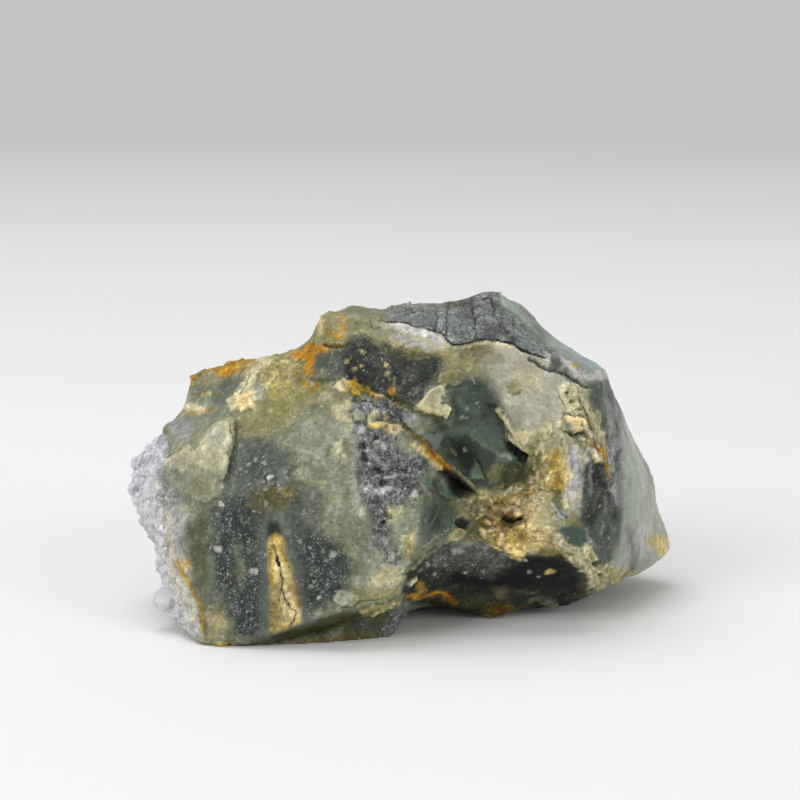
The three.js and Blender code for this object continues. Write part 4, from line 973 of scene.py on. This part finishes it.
graininess, crumbs = traits[:, 4], traits[:, 5]
dull = smooth(graininess, *DULL_GRAIN)
for span, depth, crumb_depth in FACETS:
    heights, lots = chipped(spots, span)
    lift += heights * (depth * (GLASSY_DEPTH + dull) + crumb_depth * crumbs)
    shade(1 + (lots - 0.5) * (FACET_TINTS[0] * dull + FACET_TINTS[1] * crumbs))
lift += graininess * GRAIN_DEPTH * cloud(spots, GRAIN_SPAN)
moved = spots + lift[:, None] * facing
moved[:, 2] = np.maximum(moved[:, 2], 0)

# corners that stand proud of the smoothed skin get a painted highlight, and corners sunk below it a painted
# shade
smoothed_skin = moved
for _ in range(SMOOTHING_ROUNDS):
    smoothed_skin = evened(smoothed_skin)
proud = ((moved - smoothed_skin) * facing).sum(axis=1)
shade(1 + np.clip(ARRIS_HIGHLIGHT * proud, 0, BRIGHTEST_ARRIS_HIGHLIGHT) + np.clip(HOLLOW_SHADE * proud, DEEPEST_HOLLOW_SHADE, 0))
skin.vertices.foreach_set("co", moved.ravel())
skin.update()

LAYERS = {
    "ground": colour,
    "mottle": mottle,
    "speckle": traits[:, :3],
    "finish": traits[:, 3:],
    "crack": crack,
}
for name, values in LAYERS.items():
    layer = skin.attributes.new(name, "FLOAT_VECTOR", "POINT")
    layer.data.foreach_set("vector", values.astype(np.float32).ravel())


# The chalcedony's finish: its minerals' colours, mottled, with white and dark grains.
class Value:
    """A number that a socket gives, for use in plain expressions."""

    def __init__(self, socket):
        self.socket = socket

    def __add__(self, other):
        return maths("ADD", self, other)

    def __sub__(self, other):
        return maths("SUBTRACT", self, other)

    def __rsub__(self, other):
        return maths("SUBTRACT", other, self)

    def __mul__(self, other):
        return maths("MULTIPLY", self, other)

    def __lt__(self, other):
        return maths("LESS_THAN", self, other)

    __radd__ = __add__
    __rmul__ = __mul__

    def size(self):
        """The number without its sign."""
        return maths("ABSOLUTE", self, 0)

    def clamped(self):
        """The number, held between 0 and 1."""
        return maths("ADD", self, 0, use_clamp=True)


def make(tree, kind, sockets=(), **settings):
    """Adds a node: its settings first, then the value or link of each socket."""
    node = tree.nodes.new(kind)
    for name, setting in settings.items():
        setattr(node, name, setting)
    for name, value in dict(sockets).items():
        socket = node.inputs[name]
        source = value.socket if isinstance(value, Value) else value
        if isinstance(source, bpy.types.NodeSocket):
            tree.links.new(source, socket)
        else:
            socket.default_value = source
    return node


def maths(operation, first, second, use_clamp=False):
    """A Math node's answer, for two numbers of which one at least is a socket's."""
    tree = next(value for value in (first, second) if isinstance(value, Value)).socket.id_data
    settings = {"operation": operation, "use_clamp": use_clamp}
    return Value(make(tree, "ShaderNodeMath", {0: first, 1: second}, **settings).outputs[0])


def mixed(tree, share, first, second):
    """The first colour with a share of the second in it."""
    sockets = {0: share, 6: first, 7: second}
    return make(tree, "ShaderNodeMix", sockets, data_type="RGBA").outputs[2]


def scaled(tree, vector, factor):
    """A vector or a colour, made so many times as long or as bright."""
    sockets = {0: vector, "Scale": factor}
    return make(tree, "ShaderNodeVectorMath", sockets, operation="SCALE").outputs["Vector"]


def new_material(name):
    """An empty material, its nodes, and the place on the piece in millimetres."""
    material = bpy.data.materials.new(name)
    material.use_nodes = True
    nodes = material.node_tree
    nodes.nodes.clear()
    place = make(nodes, "ShaderNodeTexCoord").outputs["Object"]
    return material, nodes, scaled(nodes, place, 1 / MM)


chalcedony, tree, millimetres = new_material("chalcedony")


def attribute(name):
    """One of the skin's own layers."""
    return make(tree, "ShaderNodeAttribute", attribute_name=name).outputs["Vector"]


def shares(vector):
    """A vector's three numbers."""
    split = make(tree, "ShaderNodeSeparateXYZ", {"Vector": vector})
    return [Value(split.outputs[axis]) for axis in "XYZ"]


def cloudy(scale, detail=2.0, roughness=0.5):
    """Noise from 0 to 1, with `scale` bumps to a millimetre."""
    sockets = {"Vector": millimetres, "Scale": scale, "Detail": detail, "Roughness": roughness}
    return Value(make(tree, "ShaderNodeTexNoise", sockets).outputs[0])


GAP_SHARPNESS = 7.0


def broken(scale):
    """Crumbs, `scale` to a millimetre: the flat shade of each, and how deep the gap beside it is."""
    bend = make(tree, "ShaderNodeTexNoise", {"Vector": millimetres, "Scale": scale, "Detail": 2.0})
    bent = {0: millimetres, 1: scaled(tree, bend.outputs[1], 0.5 / scale)}
    bent = make(tree, "ShaderNodeVectorMath", bent).outputs[0]
    crumb = make(tree, "ShaderNodeTexVoronoi", {"Vector": bent, "Scale": scale})
    edge = make(tree, "ShaderNodeTexVoronoi", {"Vector": bent, "Scale": scale}, feature="DISTANCE_TO_EDGE")
    gap = 1.0 - Value(edge.outputs["Distance"]) * GAP_SHARPNESS
    return shares(crumb.outputs["Color"])[0], gap.clamped()


def grains(scale, density):
    """Angular grains, `scale` to a millimetre; `density` is the share of them that show."""
    cells = make(tree, "ShaderNodeTexVoronoi", {"Vector": millimetres, "Scale": scale})
    lot, bright, _ = shares(cells.outputs["Color"])
    return (lot < density) * (0.25 + 0.75 * bright)


mottling, white_share, dark_share = shares(attribute("speckle"))
roughness, grit, crumbliness = shares(attribute("finish"))
to_crack, half_crack, crack_depth = shares(attribute("crack"))
OPEN_LINE = (0.05, 0.05, 0.035, 1)
# the colour of the painted shade in the gaps between crumbs
GAP_SHADE = (0.05, 0.042, 0.018, 1)
DARK_GRAIN = (0.02, 0.022, 0.024, 1)
WHITE_GRAIN = (0.58, 0.60, 0.61, 1)
CRACK_DARK = (0.008, 0.009, 0.006, 1)

# clouds in the stone, from 7 mm across down to 0.2 mm
wide = cloudy(0.14, 3.0)
broad = cloudy(0.42, 6.0, 0.66)
middling = cloudy(1.5, 5.0, 0.70)
fine = cloudy(5.0, 3.0, 0.72)
clumps = ((cloudy(0.7, 4.0, 0.6) - 0.38) * 4.5).clamped()
blend = ((0.6 * broad + 0.4 * middling - (0.68 - 0.36 * mottling)) * 9.0).clamped()

# how light each place is, and the painted shade in the gaps between its crumbs
tone = 0.945 + 0.9 * (wide - 0.5) + 1.2 * (broad - 0.5) + (0.4 + 1.6 * grit) * (middling - 0.5)
tone = tone + (0.08 + 1.7 * grit) * (fine - 0.5)
crumbly = (crumbliness * 4.0).clamped()
coarse_shade, coarse_gap = broken(1.1)
fine_shade, fine_gap = broken(2.4)
tone = tone + crumbly * (0.45 * (coarse_shade - 0.5) + 0.35 * (fine_shade - 0.5) + 0.12)
gap_shade = crumbly * (0.30 * coarse_gap + 0.16 * fine_gap) * (broad + 0.1)

# the grains, from 0.6 mm down to 0.2 mm, and three kinds of hairline: healed, open, and cut along given
# lines
whites = grains(1.7, white_share * clumps * 0.25) + grains(3.4, white_share * clumps * 0.5)
whites = whites + grains(5.6, white_share * clumps * 1.1)
darks = grains(2.6, dark_share * 0.5) + grains(5.0, dark_share * 0.8)
healed = (1.0 - (cloudy(0.3, 5.0, 0.6) - 0.5).size() * 90.0).clamped()
split = (1.0 - (cloudy(0.23, 6.0, 0.62) - 0.47).size() * 110.0).clamped()
jag = (cloudy(2.2, 3.0, 0.7) - 0.5) * 3.0
crack_line = ((half_crack - (to_crack + jag * half_crack).size()) * 1.4).clamped() * crack_depth

# the colour, from the ground up
look = mixed(tree, blend * 0.9, attribute("ground"), attribute("mottle"))
look = scaled(tree, look, tone + 0.4 * healed)
look = mixed(tree, split * 0.30, look, OPEN_LINE)
# painted shade in the gaps between crumbs
look = mixed(tree, gap_shade.clamped(), look, GAP_SHADE)
look = mixed(tree, darks.clamped() * 0.55, look, DARK_GRAIN)
look = mixed(tree, whites.clamped() * 0.36, look, WHITE_GRAIN)
look = mixed(tree, crack_line, look, CRACK_DARK)

# the finest relief, and the gloss
height = (0.08 + grit) * (0.8 * middling + 0.6 * fine)
height = height + crumbly * (0.11 * coarse_shade + 0.05 * fine_shade - 0.08 * coarse_gap)
bump = make(tree, "ShaderNodeBump", {"Height": height, "Distance": 0.35 * MM, "Strength": 1.0})
shader = make(
    tree,
    "ShaderNodeBsdfPrincipled",
    {
        "Base Color": look,
        "Roughness": (roughness + 0.5 * (middling - 0.5) - 0.1 * whites).clamped(),
        "Normal": bump.outputs["Normal"],
        "IOR": 1.54,
        "Subsurface Weight": 0.08,
        "Subsurface Radius": (1.0, 1.0, 0.85),
        "Subsurface Scale": 0.7 * MM,
        "Specular IOR Level": 0.14,
        "Coat Weight": ((0.40 - roughness) * 4.0 + 0.4 * whites).clamped(),
        "Coat Roughness": 0.18,
    },
)
make(tree, "ShaderNodeOutputMaterial", {"Surface": shader.outputs["BSDF"]})
skin.materials.append(chalcedony)
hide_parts("stone")
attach(stone, "root")

# ---- The crystal crust ---------------------------------------------------------------------------
# The end is crusted with small pale amethyst points: six-sided glassy prisms with pointed tops, crowded
# together and leaning every way, grown on the skin. One joined mesh.
POINTS = 900
POINT_HEIGHT = (0.4 * MM, 1.5 * MM)
POINT_SLIMNESS = (0.45, 0.8)  # a point's radius over its height
STEM, TIP = 0.5, 0.4  # how long the prism, sunk in the skin, and the tip are, over a point's height
STEM_FOOT = 0.9  # the prism's foot over its top
TIP_STRAY = 0.15  # how far a tip stands off the prism's middle, over the point's radius
LEAN, LEAN_SPREAD = 0.3, 0.6
LOWEST_SEAT = 1.6 * MM
BIG_POINTS = {
    # where each stands on the sheet, and how tall it is
    "168,600": 3.8 * MM,
    "160,560": 1.9 * MM,
    "150,520": 1.8 * MM,
    "146,490": 1.9 * MM,
    "152,452": 1.8 * MM,
    "176,618": 2.0 * MM,
}
CRUST_FRONT = (28 * MM, 30 * MM)  # how far left of the middle the crust begins on the front
CRUST_OUTLINE = squares(
    "110,425 156,430 160,450 154,478 156,500 164,512 168,535 168,560 176,590 190,612 190,640 120,660"
)

chance = random.Random(11)
crust = within(CRUST_OUTLINE, soft=2, ragged=3) * smooth(-spots[:, 0], *CRUST_FRONT)
crust = np.maximum(crust, (1 - seen) * smooth(-spots[:, 0], *CRUST_EDGE))
crust_places = np.flatnonzero((crust > 0.5) & (spots[:, 2] > LOWEST_SEAT))
point = bmesh.new()
sunk = Matrix.Translation((0, 0, -STEM / 2))
bmesh.ops.create_cone(
    point, cap_ends=True, segments=6, radius1=STEM_FOOT, radius2=1, depth=STEM, matrix=sunk
)
crown = max(point.faces, key=lambda face: face.calc_center_median().z)
tip = bmesh.ops.poke(point, faces=[crown], offset=TIP)["verts"][0]
tip.co.x = TIP_STRAY
point_mesh = bpy.data.meshes.new("point")
point.to_mesh(point_mesh)
points = bmesh.new()
shortest, tallest = POINT_HEIGHT
seats = []
for _ in range(POINTS):
    seat = chance.choice(crust_places)
    seats.append((seat, shortest + (tallest - shortest) * chance.random() ** 3))
for place, tall in BIG_POINTS.items():
    gaps_to_place = np.hypot(*(sheet[crust_places] - squares(place)).T)
    seats.append((crust_places[np.argmin(gaps_to_place)], tall))
for seat, tall in seats:
    radius = tall * chance.uniform(*POINT_SLIMNESS)
    way = Vector(facing[seat]) + LEAN * Vector([chance.gauss(0, LEAN_SPREAD) for _ in range(3)])
    turn = way.to_track_quat("Z", "Y").to_matrix().to_4x4()
    turn = Matrix.Translation(Vector(moved[seat])) @ turn @ Matrix.Rotation(chance.uniform(0, 6), 4, "Z")
    so_far = len(points.verts)
    points.from_mesh(point_mesh)
    points.verts.ensure_lookup_table()
    size = Matrix.Diagonal((radius, radius, tall, 1))
    bmesh.ops.transform(points, matrix=turn @ size, verts=points.verts[so_far:])
bpy.data.meshes.remove(point_mesh)
crust_mesh = bpy.data.meshes.new("druse")
points.to_mesh(crust_mesh)
druse = as_object("druse", crust_mesh)

# Milky pale lilac quartz, clear enough to glow at its edges.
amethyst, tree, millimetres = new_material("amethyst")
milk = ((cloudy(0.5, 4.0) - 0.35) * 3.0).clamped()
shader = make(
    tree,
    "ShaderNodeBsdfPrincipled",
    {
        "Base Color": mixed(tree, milk, (0.76, 0.75, 0.80, 1), (0.92, 0.92, 0.93, 1)),
        "Roughness": 0.16,
        "IOR": 1.54,
        "Transmission Weight": 0.35,
    },
)
make(tree, "ShaderNodeOutputMaterial", {"Surface": shader.outputs["BSDF"]})
crust_mesh.materials.append(amethyst)
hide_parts("stone")
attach(druse, "root")
